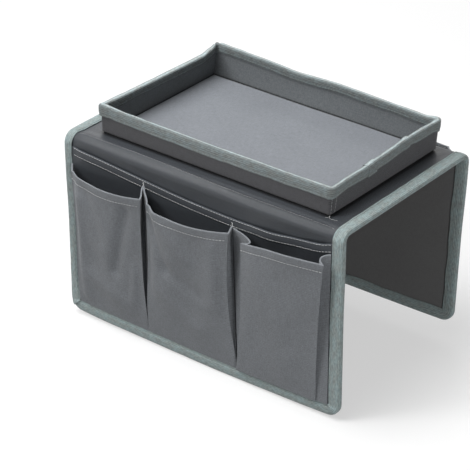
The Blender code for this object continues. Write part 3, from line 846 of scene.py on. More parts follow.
def tape_section(over, width_high, width_low, groove):
    """Points (inset, height) round a folded tape: its upper leg, its edge, its lower leg, and back inside."""
    top = EDGE + over
    under = -PANEL - EDGE
    middle = (top + under) / 2
    puff = sizes().tape_puff
    thick = 0.0006
    w = width_high
    upper = [
        (w, top - 0.00045), (w - 0.0001, top - 0.0001), (w - 0.0006, top), (w - 0.0012, top - groove * 0.5),
        (w - STITCH_INSET, top - groove), (w - 0.0022, top - groove * 0.5), (w - 0.0029, top + puff * 0.5),
        (w - 0.0048, top + puff), (0.0036, top + puff * 0.8), (0.0021, top + puff * 0.2)]
    turn = [
        (0.0012, top - 0.0002), (0.0005, top - 0.0006), (0.0001, top - 0.0012), (0.0, middle),
        (0.0001, under + 0.0012), (0.0005, under + 0.0006), (0.0012, under + 0.0002)]
    w = width_low
    lower = [
        (0.0022, under), (0.0036, under - puff * 0.3), (w - 0.0050, under - puff * 0.4),
        (w - 0.0025, under - puff * 0.2), (w - STITCH_INSET, under + groove * 0.7),
        (w - 0.0010, under - 0.00005), (w - 0.0002, under), (w, under + 0.0003)]
    inside = [
        (w, under + thick), (0.0026, under + thick), (0.0012, middle), (0.0026, top - thick),
        (width_high, top - thick)]
    return upper + turn + lower + inside


def tape_ways(flap):
    """The tape's way round a flap: each station's place(inset, height), the cloth below it and its fold."""

    def on_top(side, y):
        return lambda inset, height: Vector((side * (HALF - inset), y, PANEL + height))

    def on_bend(side, share):
        return lambda inset, height: flap.bend(side * (HALF - inset), height, share)

    def on_flap(x, drop, dx, dd):
        return lambda inset, height: flap.at(x + dx * inset, height, drop + dd * inset)

    steps = max(2, int(abs(BACK_BORDER - flap.start) / 0.004))
    ends = []
    for side in (-1, 1):
        end = [(on_top(side, y), 0.0, 0.0) for y in spread(BACK_BORDER, flap.start, steps)[:-1]]
        for share in spread(0.0, 1.0, 10)[:-1]:
            end.append((on_bend(side, share), flap.over * smooth(0.0, 1.0, share), 0.0))
        ends.append(end)
    round_flap = [(on_flap(x, drop, dx, dd), flap.over, fold) for x, drop, dx, dd, fold in flap.edge()]
    return ends[0] + round_flap + ends[1][::-1]


def tape_round(flap, seed, wave):
    """The tape round a flap and the panel's sides beside it, with an uneven inner edge, and its stitches."""
    name = flap.name.replace("flap", "tape")
    ways = tape_ways(flap)
    edge = lengths_along([way(0.0, 0.0) for way, _, _ in ways])
    sections = []
    upper = []
    lower = []
    for (way, over, fold), s in zip(ways, edge):
        here = way(0.0, 0.0)
        wide = TAPE_WIDTH + wave * ripple(s, 0.0, 0.021, seed) + wave * 0.6 * ripple(s, 0.0, 0.008, seed + 3)
        if here.x < 0:
            forwards = smooth(TOP_END - 0.006, TOP_END + 0.004, -here.y)
            wide -= 0.0022 * smooth(-0.062, -0.030, here.z) * forwards
        wide_low = TAPE_WIDTH + wave * 2.4 * ripple(s, 0.0, 0.026, seed + 5)
        groove = 0.00026 + 0.0001 * ripple(s, 0.0, 0.006, seed + 9)
        swell = 0.00018 * ripple(s, 0.0, 0.012, seed + 11) + 0.0012 * fold
        profile = tape_section(over, wide, wide_low, groove)
        sections.append([way(inset, height + swell * (height > 0)) for inset, height in profile])
        upper.append(way(wide - STITCH_INSET, EDGE + over + swell - 0.0001))
        lower.append(way(wide_low - STITCH_INSET, 0.0001 - PANEL - EDGE))
    tape = swept_tape(name, sections, look_of("tape_weave"))
    sewn = stitches(name + "_stitches", [upper, lower], "tape_thread")
    for piece in (tape, sewn):
        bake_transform(piece)
    return tape


class ORGANIZER_OT_tape(bpy.types.Operator):
    """Makes the binding tape round the panel and its flaps, with its stitches"""

    bl_idname = "organizer.tape"
    bl_label = "Binding Tape"

    def execute(self, context):
        front = tape_round(FRONT, 1.3, 0.0005)
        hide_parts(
            "top_binding_left", "top_binding_right", "front_fold_binding_left",
            "front_fold_binding_right", "front_flap_binding")
        back = tape_round(BACK, 5.7, 0.0006)
        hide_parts("back_fold_binding_left", "back_fold_binding_right", "back_flap_binding")
        return {"FINISHED"}


# Tray


def wall_shares(wall):
    """Shares along a wall at which it gets points, closer together round the lap and the folded corner."""
    shares = spread(0.0, 1.0, 56 if wall in (BACK_WALL, FRONT_WALL) else 40)[:-1]
    if wall == RIGHT_WALL:
        lap_end = LAP_SHARE + LAP_STEP
        shares += [LAP_SHARE - 0.0015, LAP_SHARE, LAP_SHARE + 0.0015, lap_end, lap_end + 0.0015]
    if wall == FRONT_WALL:
        shares += [0.006, 0.034, 0.0355]
    return sorted(shares)


def ways_out(corners):
    """The way out (x, y) of each wall."""
    ways = []
    for here, after in zip(corners, [*corners[1:], corners[0]]):
        along = (Vector(after) - Vector(here)).normalized()
        ways.append(Vector((along.y, -along.x)))
    return ways


def drawn_in(corners, distance):
    """The same corners, this far inside."""
    outs = ways_out(corners)
    return [Vector(corner) - distance * (outs[k] + outs[k - 1]) for k, corner in enumerate(corners)]


def ring_line(corners, radii):
    """Places (x, y), the way out (x, y), the wall's number and the share along it, round four corners."""
    outs = ways_out(corners)
    stations = []
    for k, out in enumerate(outs):
        after = (k + 1) % len(outs)
        centre = Vector(corners[k]) - radii[k] * (out + outs[k - 1])
        for share in spread(0.0, 1.0, 6)[:-1]:
            turn = outs[k - 1].slerp(out, share)
            stations.append((centre + radii[k] * turn, turn, k, 0.0))
        start = centre + radii[k] * out
        end = Vector(corners[after]) - radii[after] * outs[after]
        for share in wall_shares(k):
            stations.append((start.lerp(end, share), out, k, share))
    return stations


# The wall's outer and inner line at its foot and at its rim
FOOT_LINE = ring_line(TRAY_FOOT, FOOT_RADII)
FOOT_INSIDE = ring_line(drawn_in(TRAY_FOOT, WALL), INNER_RADII)
RIM_LINE = ring_line(TRAY_RIM, RIM_RADII)
RIM_INSIDE = ring_line(drawn_in(TRAY_RIM, WALL), INNER_RADII)
ROUND = len(RIM_LINE)

# Heights of a wall's rows of points, as shares of the wall, closer together at its foot, and how far below
# the crest its cloth ends, under the tape
WALL_RISES = [0.0, 0.018, 0.036, 0.054, 0.072, 0.1, *spread(0.16, 1.0, 12)]
UNDER_CREST = 0.0012

# The stations near the front right corner where the wall is stitched from its foot upwards
STITCHED_STATIONS = (4, 7)

# The loose ends of that corner's thread: how thick it is, and its places x, y and height above the panel
LOOSE_THREAD = 0.00034
LOOSE_ENDS = (
    ((0.1322, -0.0812, 0.0022), (0.1328, -0.0824, 0.0004), (0.1350, -0.0836, 0.0003),
     (0.1378, -0.0834, 0.0005), (0.1408, -0.0820, 0.0004), (0.1430, -0.0816, 0.0005)),
    ((0.1324, -0.0814, 0.0012), (0.1312, -0.0834, 0.0004), (0.1296, -0.0842, 0.0004),
     (0.1290, -0.0828, 0.0005)),
)


def crest_height(index):
    """How high the rim is at a station."""
    _, _, wall, share = RIM_LINE[index % ROUND]
    return track(RIM_HEIGHTS[wall], share)


def wall_at(index, inset, rise):
    """A place in the wall at a station, this far inside its outer face, at a share of the way up."""
    index = index % ROUND
    _, out, wall, share = RIM_LINE[index]
    across = inset / WALL
    foot = FOOT_LINE[index][0].lerp(FOOT_INSIDE[index][0], across)
    rim = RIM_LINE[index][0].lerp(RIM_INSIDE[index][0], across)
    bow = RIM_BOWS[wall] * math.sin(math.pi * share)
    wavy = 0.0003 * ripple(rim.x, rim.y, 0.03, 2.2) * smooth(0.0, 0.1, share * (1 - share) * 4)
    belly = 0.0008 * math.sin(math.pi * rise) * math.sin(math.pi * share)
    tuck = 0.0021 * (1 - smooth(0.0, 0.085, rise)) * (1 - across)
    place = foot.lerp(rim, rise) + out * ((bow + wavy) * rise + belly - tuck)
    return Vector((place.x, place.y, PANEL + GAP + (crest_height(index) - GAP) * rise))


def wall_band(name, inset, look):
    """One band of cloth of the tray's wall. Its outer face shows, or with an inset its inner face."""
    order = range(ROUND) if inset else range(ROUND, 0, -1)
    tops = [1 - UNDER_CREST / crest_height(index) for index in order]
    rows = [[wall_at(index, inset, rise * top) for index, top in zip(order, tops)] for rise in WALL_RISES]
    around = lengths_along([*rows[0], rows[0][0]])
    places = [[(s, crest_height(0) * rise) for s in around] for rise in WALL_RISES]
    piece = cloth_sheet(name, rows, places, look_of(look), ring=True)
    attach(piece, "top")
    return piece


def floor_lines(inset, size, steps):
    """Distances across the floor from one wall to the other, closer together at both."""
    near = [inset, inset + 0.0005, inset + 0.0012]
    far = [size - place for place in reversed(near)]
    return near + spread(inset + 0.003, size - inset - 0.003, steps) + far


def floor_rows(inset):
    """Rows of the tray's floor cloth, a little uneven and drawn down at the walls."""
    front_right, back_right, back_left, front_left = [Vector(corner) for corner in TRAY_FOOT]
    lift = high("tray_floor_cloth").z
    depth = (back_left - front_left).length
    wide = (front_right - front_left).length
    acrosses = floor_lines(inset, wide, 60)
    rows = []
    places = []
    for down in reversed(floor_lines(inset, depth, 40)):
        left = front_left.lerp(back_left, down / depth)
        right = front_right.lerp(back_right, down / depth)
        row = []
        for across in acrosses:
            point = left.lerp(right, across / wide)
            rim = min(across, wide - across, down, depth - down) - inset
            rise = 0.0005 * ripple(point.x, point.y, 0.08, 4.4) + 0.0009 * smooth(0.0, 0.04, rim)
            rise -= (lift - PANEL - CLOTH - GAP) * (1 - smooth(-0.0004, 0.0004, rim))
            rise -= 0.0006 * (1 - smooth(0.0, 0.0020, rim))
            row.append(Vector((point.x, point.y, lift + rise)))
        rows.append(row)
        places.append([(across, down) for across in acrosses])
    return rows, places


class ORGANIZER_OT_tray(bpy.types.Operator):
    """Makes the tray's floor cloth and the two cloths of its wall"""

    bl_idname = "organizer.tray"
    bl_label = "Tray Cloths"

    def execute(self, context):
        outer = wall_band("tray_outer_cloth", 0.0, "wall_weave")
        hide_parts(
            "tray_wall_outer_cloth", "tray_front_board", "tray_back_board", "tray_left_board",
            "tray_right_board")
        inner = wall_band("tray_inner_cloth", WALL, "inner_weave")
        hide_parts("tray_wall_inner_cloth")
        floor = cloth_sheet("tray_floor", *floor_rows(WALL + 0.0014), look_of("floor_weave"))
        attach(floor, "top")
        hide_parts("tray_floor_cloth", "tray_floor_board")
        rises = spread(0.10, 0.66, 12)
        seams = [[wall_at(index, -0.0001, rise) for rise in rises] for index in STITCHED_STATIONS]
        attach(stitches("tray_corner_stitches", seams, "dark_thread"), "top")
        ends = [
            [Vector((x, y, PANEL + bend_relief(x, FRONT.start - y) + height)) for x, y, height in way]
            for way in LOOSE_ENDS]
        loose = stitches(
            "tray_thread_ends", ends, "hem_thread", thickness=LOOSE_THREAD, pitch=sizes().stitch * CLOSE)
        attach(loose, "top")
        return {"FINISHED"}


# Rim tape


def rim_section(outer_leg, inner_leg, lift, outer_lift, groove):
    """Points (out, down) round the rim's tape, from its outer leg's foot over the crest to its inner leg."""
    side = EDGE + lift + outer_lift
    far = -WALL - EDGE - lift
    top = -lift
    puff = sizes().tape_puff * 0.4
    outside = [
        (side - 0.0005, outer_leg), (side - 0.0001, outer_leg - 0.0001), (side, outer_leg - 0.0006),
        (side - groove * 0.5, outer_leg - 0.0013), (side - groove, outer_leg - STITCH_INSET),
        (side - groove * 0.5, outer_leg - 0.0021), (side, outer_leg - 0.0028),
        (side + puff, outer_leg - 0.0046), (side + puff * 0.8, 0.0036), (side, 0.0017)]
    over = [
        (side - 0.0002, top + 0.0009), (side - 0.0007, top + 0.0003), (side - 0.0015, top),
        ((side + far) / 2, top - 0.0002),
        (far + 0.0015, top), (far + 0.0007, top + 0.0003), (far + 0.0002, top + 0.0009)]
    inside = [
        (far, 0.0018), (far - puff * 0.5, 0.0036), (far, inner_leg - 0.0026),
        (far + groove, inner_leg - STITCH_INSET), (far, inner_leg - 0.0008),
        (far + 0.0001, inner_leg - 0.0001), (far + 0.0005, inner_leg)]
    hidden = [(-WALL - 0.0002, inner_leg), (-WALL - 0.0001, 0.0014), (-0.0001, 0.0014), (0.0002, outer_leg)]
    return outside + over + inside + hidden


def rim_place(index):
    """place(out, down) at a station of the rim: across the wall, and down along it from the crest."""
    top = wall_at(index, 0.0, 1.0)
    down_way = (wall_at(index, 0.0, 0.6) - top).normalized()
    across = top - wall_at(index, WALL, 1.0)
    return lambda out, down: top + across * (out / WALL) + down_way * down


def lap_station(past):
    """The first station of the right wall past a share."""
    return next(i for i, (_, _, wall, share) in enumerate(RIM_LINE) if wall == RIGHT_WALL and share > past)


def rim_shape(s, wall, share, lapped):
    """The tape's outer and inner leg, how far it stands off the wall, and how much more the outer leg does.

    s is how far along the tape this is, and lapped whether it lies over its own start.
    """
    outer_leg = 0.0108 + 0.0005 * ripple(s, 0.0, 0.022, 8.1)
    inner_leg = 0.0075 + 0.0006 * ripple(s, 0.0, 0.03, 3.7)
    lift = 0.0001 + 0.00022 * ripple(s, 0.0, 0.013, 6.2)
    outer_lift = 0.0002 * ripple(s, 0.0, 0.009, 5.2)
    if wall == RIGHT_WALL:
        outer_leg -= 0.0014 * smooth(0.0, 0.1, share) + 0.0013 * hump(share, 0.73, 0.030)
        lift += 0.0006 * hump(share, 0.69, 0.022) - 0.0004 * hump(share, 0.735, 0.012)
    if wall == LEFT_WALL:
        lift += 0.0007 * smooth(0.0, 0.1, share * (1 - share))
    if wall == FRONT_WALL:
        lift -= 0.0003 * smooth(0.0, 0.1, share * (1 - share))
    if wall == FRONT_WALL and share < 0.0345:
        outer_lift += TAPE_THICK
    if lapped:
        lift += TAPE_THICK
        outer_leg += 0.0010
    if (wall, share > 0.5) in ((RIGHT_WALL, True), (BACK_WALL, False)):
        lift += 0.0007 * hump(min(share, 1 - share) * 0.16, 0.0, 0.006)
    if wall == LEFT_WALL and share == 0:
        lift -= 0.0015
        inner_leg += 0.0025
    return outer_leg, inner_leg, lift, outer_lift


class ORGANIZER_OT_rim(bpy.types.Operator):
    """Makes the tape folded over the tray's rim, with its lap, its folded corner and its stitches"""

    bl_idname = "organizer.rim"
    bl_label = "Rim Tape"

    def execute(self, context):
        first = lap_station(LAP_SHARE - 0.0001)
        lapped = lap_station(LAP_SHARE + LAP_STEP) - first
        order = range(first, first + ROUND + lapped)
        around = lengths_along([wall_at(index, 0.0, 1.0) for index in order])
        groove = 0.0003
        sections = []
        outer_seam = []
        inner_seam = []
        for number, (index, s) in enumerate(zip(order, around)):
            _, _, wall, share = RIM_LINE[index % ROUND]
            outer_leg, inner_leg, lift, outer_lift = rim_shape(s, wall, share, number < lapped)
            place = rim_place(index)
            profile = rim_section(outer_leg, inner_leg, lift, outer_lift, groove)
            sections.append([place(out, down) for out, down in profile])
            outer_seam.append(place(EDGE + lift + outer_lift - groove + 0.0001, outer_leg - STITCH_INSET))
            inner_seam.append(place(-WALL - EDGE - lift + groove - 0.0001, inner_leg - STITCH_INSET))
        middle = lengths_along(sections[0])[len(sections[0]) // 2 - 1]
        # The rim tape gets a painted highlight along its crest and painted shade on its legs
        rim = swept_tape("rim_tape", sections, look_of("rim_weave", crest=middle))
        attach(rim, "top")
        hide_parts("tray_rim_binding")
        sewn = stitches("rim_stitches", [outer_seam[:-lapped], inner_seam[:-lapped]], "tape_thread")
        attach(sewn, "top")
        return {"FINISHED"}


# Flat pocket


def flat_mouth(x):
    """How far the flat pocket's mouth lies below the front flap's axis."""
    xs = (-INNER_HALF, LEFT_DIVIDER[1], RIGHT_DIVIDER[1], INNER_HALF)
    return FRONT.top + through(tuple(zip(xs, FLAT_DROPS)), max(-INNER_HALF, min(INNER_HALF, x)))


def flat_out(x, below):
    """How far out the flat pocket's face is, this far below its mouth."""
    hem = sizes().hem
    free = smooth(INNER_HALF, INNER_HALF - 0.010, abs(x))
    band = 0.0005 * (1 - smooth(hem - 0.0001, hem + 0.0006, below))
    band += 0.0003 * math.sin(math.pi * min(1.0, below / hem))
    gape = 0.0006 * (1 + ripple(x, 0.0, 0.05, 1.9)) * (1 - smooth(0.0, 0.022, below))
    wave = 0.5 + 0.5 * math.cos(2 * math.pi * (x - 0.083) / 0.052)
    right = 0.0016 * wave * smooth(0.048, 0.070, x) * (1 - smooth(0.004, 0.030, below))
    return FLAT_OUT + free * (band + gape + right)


def on_flat(x, below, lift=0.0):
    """A place on the flat pocket, this far below its mouth."""
    return FRONT.at(x, flat_out(x, below) + lift, flat_mouth(x) + below)


def bar_tack(x, drop):
    """A zigzag of points over the top of a divider."""
    points = []
    for step in range(17):
        below = FRONT.top + drop - 0.0042 + 0.0003 * step
        out = flat_out(x, below - flat_mouth(x)) + 0.0003
        points.append(FRONT.at(x + (0.0009 if step % 2 else -0.0009), out, below))
    return points


class ORGANIZER_OT_flat_pocket(bpy.types.Operator):
    """Makes the flat pocket across the front flap, with its hem and stitches"""

    bl_idname = "organizer.flat_pocket"
    bl_label = "Flat Pocket"

    def execute(self, context):
        hem = sizes().hem
        downs = [
            0.0, 0.0006, 0.002, 0.004, 0.006, 0.0075, hem, hem + 0.0004, 0.0105, 0.013, 0.016, 0.020, 0.026]
        columns = []
        for x in spread(EDGE - HALF, HALF - EDGE, 130):
            columns.append([(x, b) for b in downs + spread(downs[-1], FRONT.foot(x) - flat_mouth(x), 14)[1:]])
        places = list(zip(*columns))
        rows = [[on_flat(x, b) for x, b in line] for line in places]
        pocket = cloth_sheet("flat_pocket_cloth", rows, places, look_of("flat_pocket_weave"))
        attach(pocket, "front_flap")
        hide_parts("flat_pocket")
        xs = spread(0.0003 - INNER_HALF, INNER_HALF - 0.0003, 90)
        seams = [[on_flat(x, below, 0.0001) for x in xs] for below in (0.0011, hem - 0.0006)]
        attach(stitches("flat_pocket_stitches", seams, "hem_thread"), "front_flap")
        tacks = [bar_tack(LEFT_DIVIDER[1], 0.0137), bar_tack(RIGHT_DIVIDER[1], 0.0210)]
        tacked = stitches(
            "divider_bar_tacks", tacks, "hem_thread", pitch=sizes().stitch * CLOSE)
        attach(tacked, "front_flap")
        return {"FINISHED"}


# Bellows pockets


# Steps across a bellows pocket's side folds and its front
SIDE_STEPS = 12
FRONT_STEPS = 56

# Rows of points down its hem: how far down, as a share of the hem, and how thick the cloth is there, as a
# share of two layers. Then where the rows below the hem start.
HEM_ROWS = ((0.0, 0.95), (0.12, 0.95), (0.45, 0.95), (0.8, 0.95), (0.96, 0.62))
BELOW_HEM = 1.1
ONE_LAYER = 0.5


class Pocket:
    """One bellows pocket. Its cloth runs from seam to seam over a side fold, the front and the other fold.

    u runs across the front and t up it. mouth_x and foot_x are its left and right edge, stand how far out its
    mouth is at the left, middle and right, and mouth_drop how far down. reach is not used. stitched holds
    each row's place down the hem, as a share of it, and how far out from the cloth's middle it is.
    """

    bows = (0.0, 0.0)
    roll = 0.0
    seam_out = ON_FLAT
    reach = 0.008
    stitched = ((0.94, 0.00062), (0.94, -0.00062))

    def __init__(self, flap, name, **shape):
        self.flap = flap
        self.name = name
        for part, value in shape.items():
            setattr(self, part, value)
        self.wide = self.mouth_x[1] - self.mouth_x[0]
        self.foot_drop = flap.bottom - TAPE_WIDTH - GAP
        self.tall = self.foot_drop - self.mouth(0.5)

    def mouth(self, u):
        return self.flap.top + across_three(self.mouth_drop, u)

    def edge_x(self, u, t):
        bow = mix(*self.bows, u) * math.sin(math.pi * t)
        return mix(mix(*self.foot_x, u), mix(*self.mouth_x, u), t) + bow

    def out(self, u, t):
        """How far out the front is, from the plain form's belly and folds with the finer drapes on top."""
        swell = t * (1 + 0.35 * (1 - t))
        wave = math.cos(2 * math.pi * (1.5 * u + self.slant * t))
        fade = math.sin(math.pi * u) * math.sin(math.pi * min(t, 0.985))
        plain = mix(self.foot_stand, across_three(self.stand, u), swell) + self.folds * wave * fade
        across = u * self.wide
        up = t * self.tall
        drape = 0.0
        for (u0, t0), (u1, t1), width, depth in self.drapes:
            start = Vector((u0 * self.wide, t0 * self.tall))
            way = Vector((u1 * self.wide, t1 * self.tall)) - start
            here = Vector((across, up)) - start
            share = max(0.0, min(1.0, here.dot(way) / way.length_squared))
            drape += depth * hump((here - way * share).length, 0.0, width)
        soft = sizes().fold_depth * 0.5 * ripple(across, up * 0.6, 0.026, self.slant + 2.0)
        soft += sizes().fold_depth * 0.16 * ripple(across, up, 0.011, self.slant + 5.0)
        hold = smooth(0.0, 0.09, t) * smooth(0.0, 0.12, u) * smooth(1.0, 0.88, u)
        pinch = 0.0005 * (hump(across, 0.0, 0.0013) + hump(across, self.wide, 0.0013)) * smooth(0.1, 0.3, t)
        rolled = self.roll * (1 - smooth(0.0, 0.013, across)) * smooth(0.15, 0.60, t)
        return plain + (drape + soft) * hold + pinch - rolled

    def side_fold(self, side, t):
        """Places (x, out, drop) of a side fold at a share up, from its seam to the front's edge."""
        seam = self.seams[side]
        half = POCKET_CLOTH / 2
        seam_out = mix(min(self.foot_stand, self.seam_out), self.seam_out, smooth(0.02, 0.2, t)) + half
        start = (mix(seam["foot"], seam["mouth"], t), seam_out)
        end = (self.edge_x(side, t), self.out(float(side), t) + half)
        past = mix(*seam["pleat"], t) + seam["tuck"] * math.sin(math.pi * t)
        lift = 0.25 * (end[1] - start[1])
        curve = (start, (start[0] + past, start[1] + lift), (end[0] + past, end[1] - lift), end)
        places = []
        for v in spread(0.0, 1.0, SIDE_STEPS):
            top = mix(self.flap.top + seam["drop"], self.mouth(float(side)), v)
            places.append((*bezier(*curve, v), mix(self.foot_drop, top, t)))
        return places

    def line(self, t):
        """Points across the whole cloth at a share up: one side fold, the front, and the other side fold."""
        front = []
        for u in spread(0.0, 1.0, FRONT_STEPS):
            out = self.out(u, t) + POCKET_CLOTH / 2
            front.append((self.edge_x(u, t), out, mix(self.foot_drop, self.mouth(u), t)))
        places = self.side_fold(0, t)[:-1] + front + self.side_fold(1, t)[-2::-1]
        return [self.flap.at(*place) for place in places]


def pocket_cloth(pocket):
    """The whole cloth of a bellows pocket with its hem, and the stitches along its hem."""
    name = pocket.name
    hem_share = sizes().hem / pocket.tall
    levels = [(1.0 - down * hem_share, thick) for down, thick in HEM_ROWS]
    levels += [(t, ONE_LAYER) for t in spread(1.0 - BELOW_HEM * hem_share, 0.0, 44)]
    rows = []
    places = []
    hems = []
    for t, thick in levels:
        line = pocket.line(t)
        across = lengths_along(line)
        middle = across[len(across) // 2]
        place = [(a - middle, (1 - t) * pocket.tall) for a in across]
        way = -pocket.flap.side
        rows.append(line[::way])
        places.append(place[::way])
        hems.append([thick] * len(line))
    piece = cloth_sheet(
        name + "_cloth", rows, places, look_of("pocket_weave"), "pocket_cloth", 2 * POCKET_CLOTH, hems)
    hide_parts(name + "_panel", name + "_gusset_left", name + "_gusset_right")
    wide = lengths_along(pocket.line(0.8))[-1]
    out_way = pocket.flap.at(0.0, 1.0, 0.0) - pocket.flap.at(0.0, 0.0, 0.0)
    seams = []
    for down, stand in pocket.stitched:
        front = pocket.line(1 - hem_share * down)[SIDE_STEPS:SIDE_STEPS + FRONT_STEPS + 1]
        seams.append([point + out_way * stand for point in front])
    sewn = stitches(name + "_stitches", seams, "hem_thread")
    start = pocket.flap.at(0.0, 0.0015, pocket.foot_drop)
    end = pocket.flap.at(0.0, pocket.reach, pocket.foot_drop)
    for each in (piece, sewn):
        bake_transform(each)


def side_seam(foot, mouth, drop, pleat=(0.0, 0.0), tuck=0.0):
    """Where a side fold is sewn on. pleat is how far it swings aside at foot and mouth, tuck halfway up."""
    return {"foot": foot, "mouth": mouth, "drop": drop, "pleat": pleat, "tuck": tuck}


def beside(divider, side, drop, pleat=(0.0, 0.0), tuck=0.0):
    """A seam just to the left, -1, or the right, 1, of a divider."""
    return side_seam(divider[0] + side * SEAM_PITCH, divider[1] + side * SEAM_PITCH, drop, pleat, tuck)


# Each drape: where it starts and ends, as shares across and up the front, its width and its depth
def front_pockets():
    left = Pocket(
        FRONT, "left_pocket",
        mouth_x=(0.0035 - INNER_HALF, LEFT_DIVIDER[1] + 0.0075),
        foot_x=(-TAPE_SEAM, LEFT_DIVIDER[0] - 0.0001),
        bows=(0.0, -0.0012),
        roll=0.0035,
        stand=(0.0115, 0.0195, 0.0165),
        mouth_drop=(0.0212, 0.0225, 0.0185),
        folds=0.0012, slant=0.30, foot_stand=FLAT_OUT + GAP,
        seams=(
            side_seam(-TAPE_SEAM, -TAPE_SEAM - 0.0020, 0.0178),
            beside(LEFT_DIVIDER, -1, 0.0137, tuck=-0.004)),
        drapes=(
            ((0.80, 0.88), (0.62, 0.40), 0.0060, -0.0042),
            ((0.12, 0.84), (0.13, 0.10), 0.0080, 0.0024),
            ((0.26, 0.92), (0.44, 0.60), 0.0070, -0.0012),
            ((0.25, 0.26), (0.75, 0.16), 0.0100, 0.0018),
            ((0.90, 0.45), (0.84, 0.20), 0.0050, 0.0016)))
    middle = Pocket(
        FRONT, "middle_pocket",
        mouth_x=(LEFT_DIVIDER[1] + 0.0143, RIGHT_DIVIDER[1] + 0.0033),
        foot_x=(LEFT_DIVIDER[0] + 0.0001, RIGHT_DIVIDER[0] - 0.0001),
        bows=(0.0008, -0.0052),
        roll=0.0042,
        stand=(0.0190, 0.0205, 0.0125),
        mouth_drop=(0.0215, 0.0259, 0.0217),
        folds=0.0014, slant=-0.55, foot_stand=FLAT_OUT + GAP,
        seams=(beside(LEFT_DIVIDER, 1, 0.0137), beside(RIGHT_DIVIDER, -1, 0.0207, tuck=-0.008)),
        drapes=(
            ((0.04, 0.90), (0.26, 0.58), 0.0060, -0.0030),
            ((0.26, 0.58), (0.66, 0.48), 0.0080, -0.0020),
            ((0.15, 0.97), (0.52, 0.72), 0.0080, 0.0018),
            ((0.84, 0.88), (0.86, 0.45), 0.0080, 0.0020),
            ((0.10, 0.42), (0.60, 0.20), 0.0090, 0.0014)))
    right = Pocket(
        FRONT, "right_pocket",
        mouth_x=(RIGHT_DIVIDER[1] + 0.0182, INNER_HALF - 0.0017),
        foot_x=(RIGHT_DIVIDER[0] + 0.0001, INNER_HALF - 0.0132),
        bows=(0.0028, -0.0008),
        stand=(0.0130, 0.0175, 0.0115),
        mouth_drop=(0.0262, 0.0195, 0.0182),
        folds=0.0008, slant=0.20, foot_stand=ON_FLAT + POCKET_CLOTH + 4 * GAP, reach=0.006,
        seams=(
            beside(RIGHT_DIVIDER, 1, 0.0219, (0.004, 0.018)),
            side_seam(TAPE_SEAM, TAPE_SEAM, 0.0119, (-0.009, -0.0085), tuck=-0.003)),
        drapes=(
            ((0.15, 0.90), (0.35, 0.45), 0.0100, 0.0011),
            ((0.55, 0.80), (0.70, 0.35), 0.0090, -0.0010)))
    return left, middle, right


class ORGANIZER_OT_front_pockets(bpy.types.Operator):
    """Makes the three bellows pockets of the front flap, with their hems and stitches"""

    bl_idname = "organizer.front_pockets"
    bl_label = "Front Pockets"

    def execute(self, context):
        for pocket in front_pockets():
            pocket_cloth(pocket)
        return {"FINISHED"}


class ORGANIZER_OT_rear_pocket(bpy.types.Operator):
    """Makes the wide bellows pocket of the back flap"""

    bl_idname = "organizer.rear_pocket"
    bl_label = "Rear Pocket"

    def execute(self, context):
        pocket_cloth(Pocket(
            BACK, "rear_pocket",
            mouth_x=(0.0215 - INNER_HALF, INNER_HALF - 0.0215),
            foot_x=(-TAPE_SEAM, TAPE_SEAM),
            stand=(0.0150, 0.0175, 0.0150),
            mouth_drop=(-0.0010, -0.0030, -0.0010),
            folds=0.0006, slant=0.25, foot_stand=GAP, seam_out=GAP,
            seams=(side_seam(-TAPE_SEAM, -TAPE_SEAM, 0.0005), side_seam(TAPE_SEAM, TAPE_SEAM, 0.0005)),
            stitched=(*Pocket.stitched, (0.20, 0.00072), (0.20, -0.00072)),
            drapes=(
                ((0.10, 0.90), (0.30, 0.40), 0.0140, 0.0012),
                ((0.85, 0.92), (0.68, 0.35), 0.0140, -0.0012))))
        return {"FINISHED"}


# Boards


class ORGANIZER_OT_boards(bpy.types.Operator):
    """Gives the boards of the panel and the flaps their finish"""

    bl_idname = "organizer.boards"
    bl_label = "Boards"

    def execute(self, context):
        for name in ("top_board", "front_flap_board", "back_flap_board"):
            for slot in frame["nodes"][name].material_slots:
                slot.material = look_of("stiff_board")
        return {"FINISHED"}


# Stage

WHITE = (1.0, 1.0, 1.0, 1.0)
FLOOR_GREY = (0.20, 0.20, 0.20, 1.0)
FLOOR_SIZE = 14.0
FLOOR_BELOW = 0.0026
WORLD_STRENGTH = 0.15

# Each lamp: its name, place, size and power in watts. They face a point inside the organizer.
LAMP_TARGET = (0.0, 0.0, -0.06)
LAMPS = (
    ("overhead_light", (-0.38, -0.40, 1.72), 1.2, 34.0),
    ("back_light", (-1.60, 2.10, 1.55), 1.0, 13.0),
    ("front_light", (-1.35, -1.75, 1.68), 0.8, 31.0),
    ("side_light", (2.10, -1.10, -0.06), 0.2, 20.0),
)


def seen_directly(look):
    """1 for the rays that show the background: from the camera, and in glossy or clear surfaces."""
    path = look.node("ShaderNodeLightPath")
    kinds = ("Is Camera Ray", "Is Glossy Ray", "Is Transmission Ray")
    camera, glossy, clear = [Signal(look, path.outputs[kind]) for kind in kinds]
    return look.math("MINIMUM", camera + glossy + clear, 1.0)


def floor_look():
    """White where it is seen, with the object's shadow, and greyer for the light that bounces off it."""
    look = Look(bpy.data.materials.new("stage_floor"))
    plain = look.node("ShaderNodeBsdfDiffuse", values={"Color": WHITE})
    glow = look.node("ShaderNodeEmission", values={"Color": WHITE, "Strength": 1.0})
    seen = look.node("ShaderNodeMixShader", values={0: 0.55, 1: plain.outputs[0], 2: glow.outputs[0]})
    unseen = look.node("ShaderNodeBsdfDiffuse", values={"Color": FLOOR_GREY})
    values = {0: seen_directly(look), 1: unseen.outputs[0], 2: seen.outputs[0]}
    return look.shown(look.node("ShaderNodeMixShader", values=values))


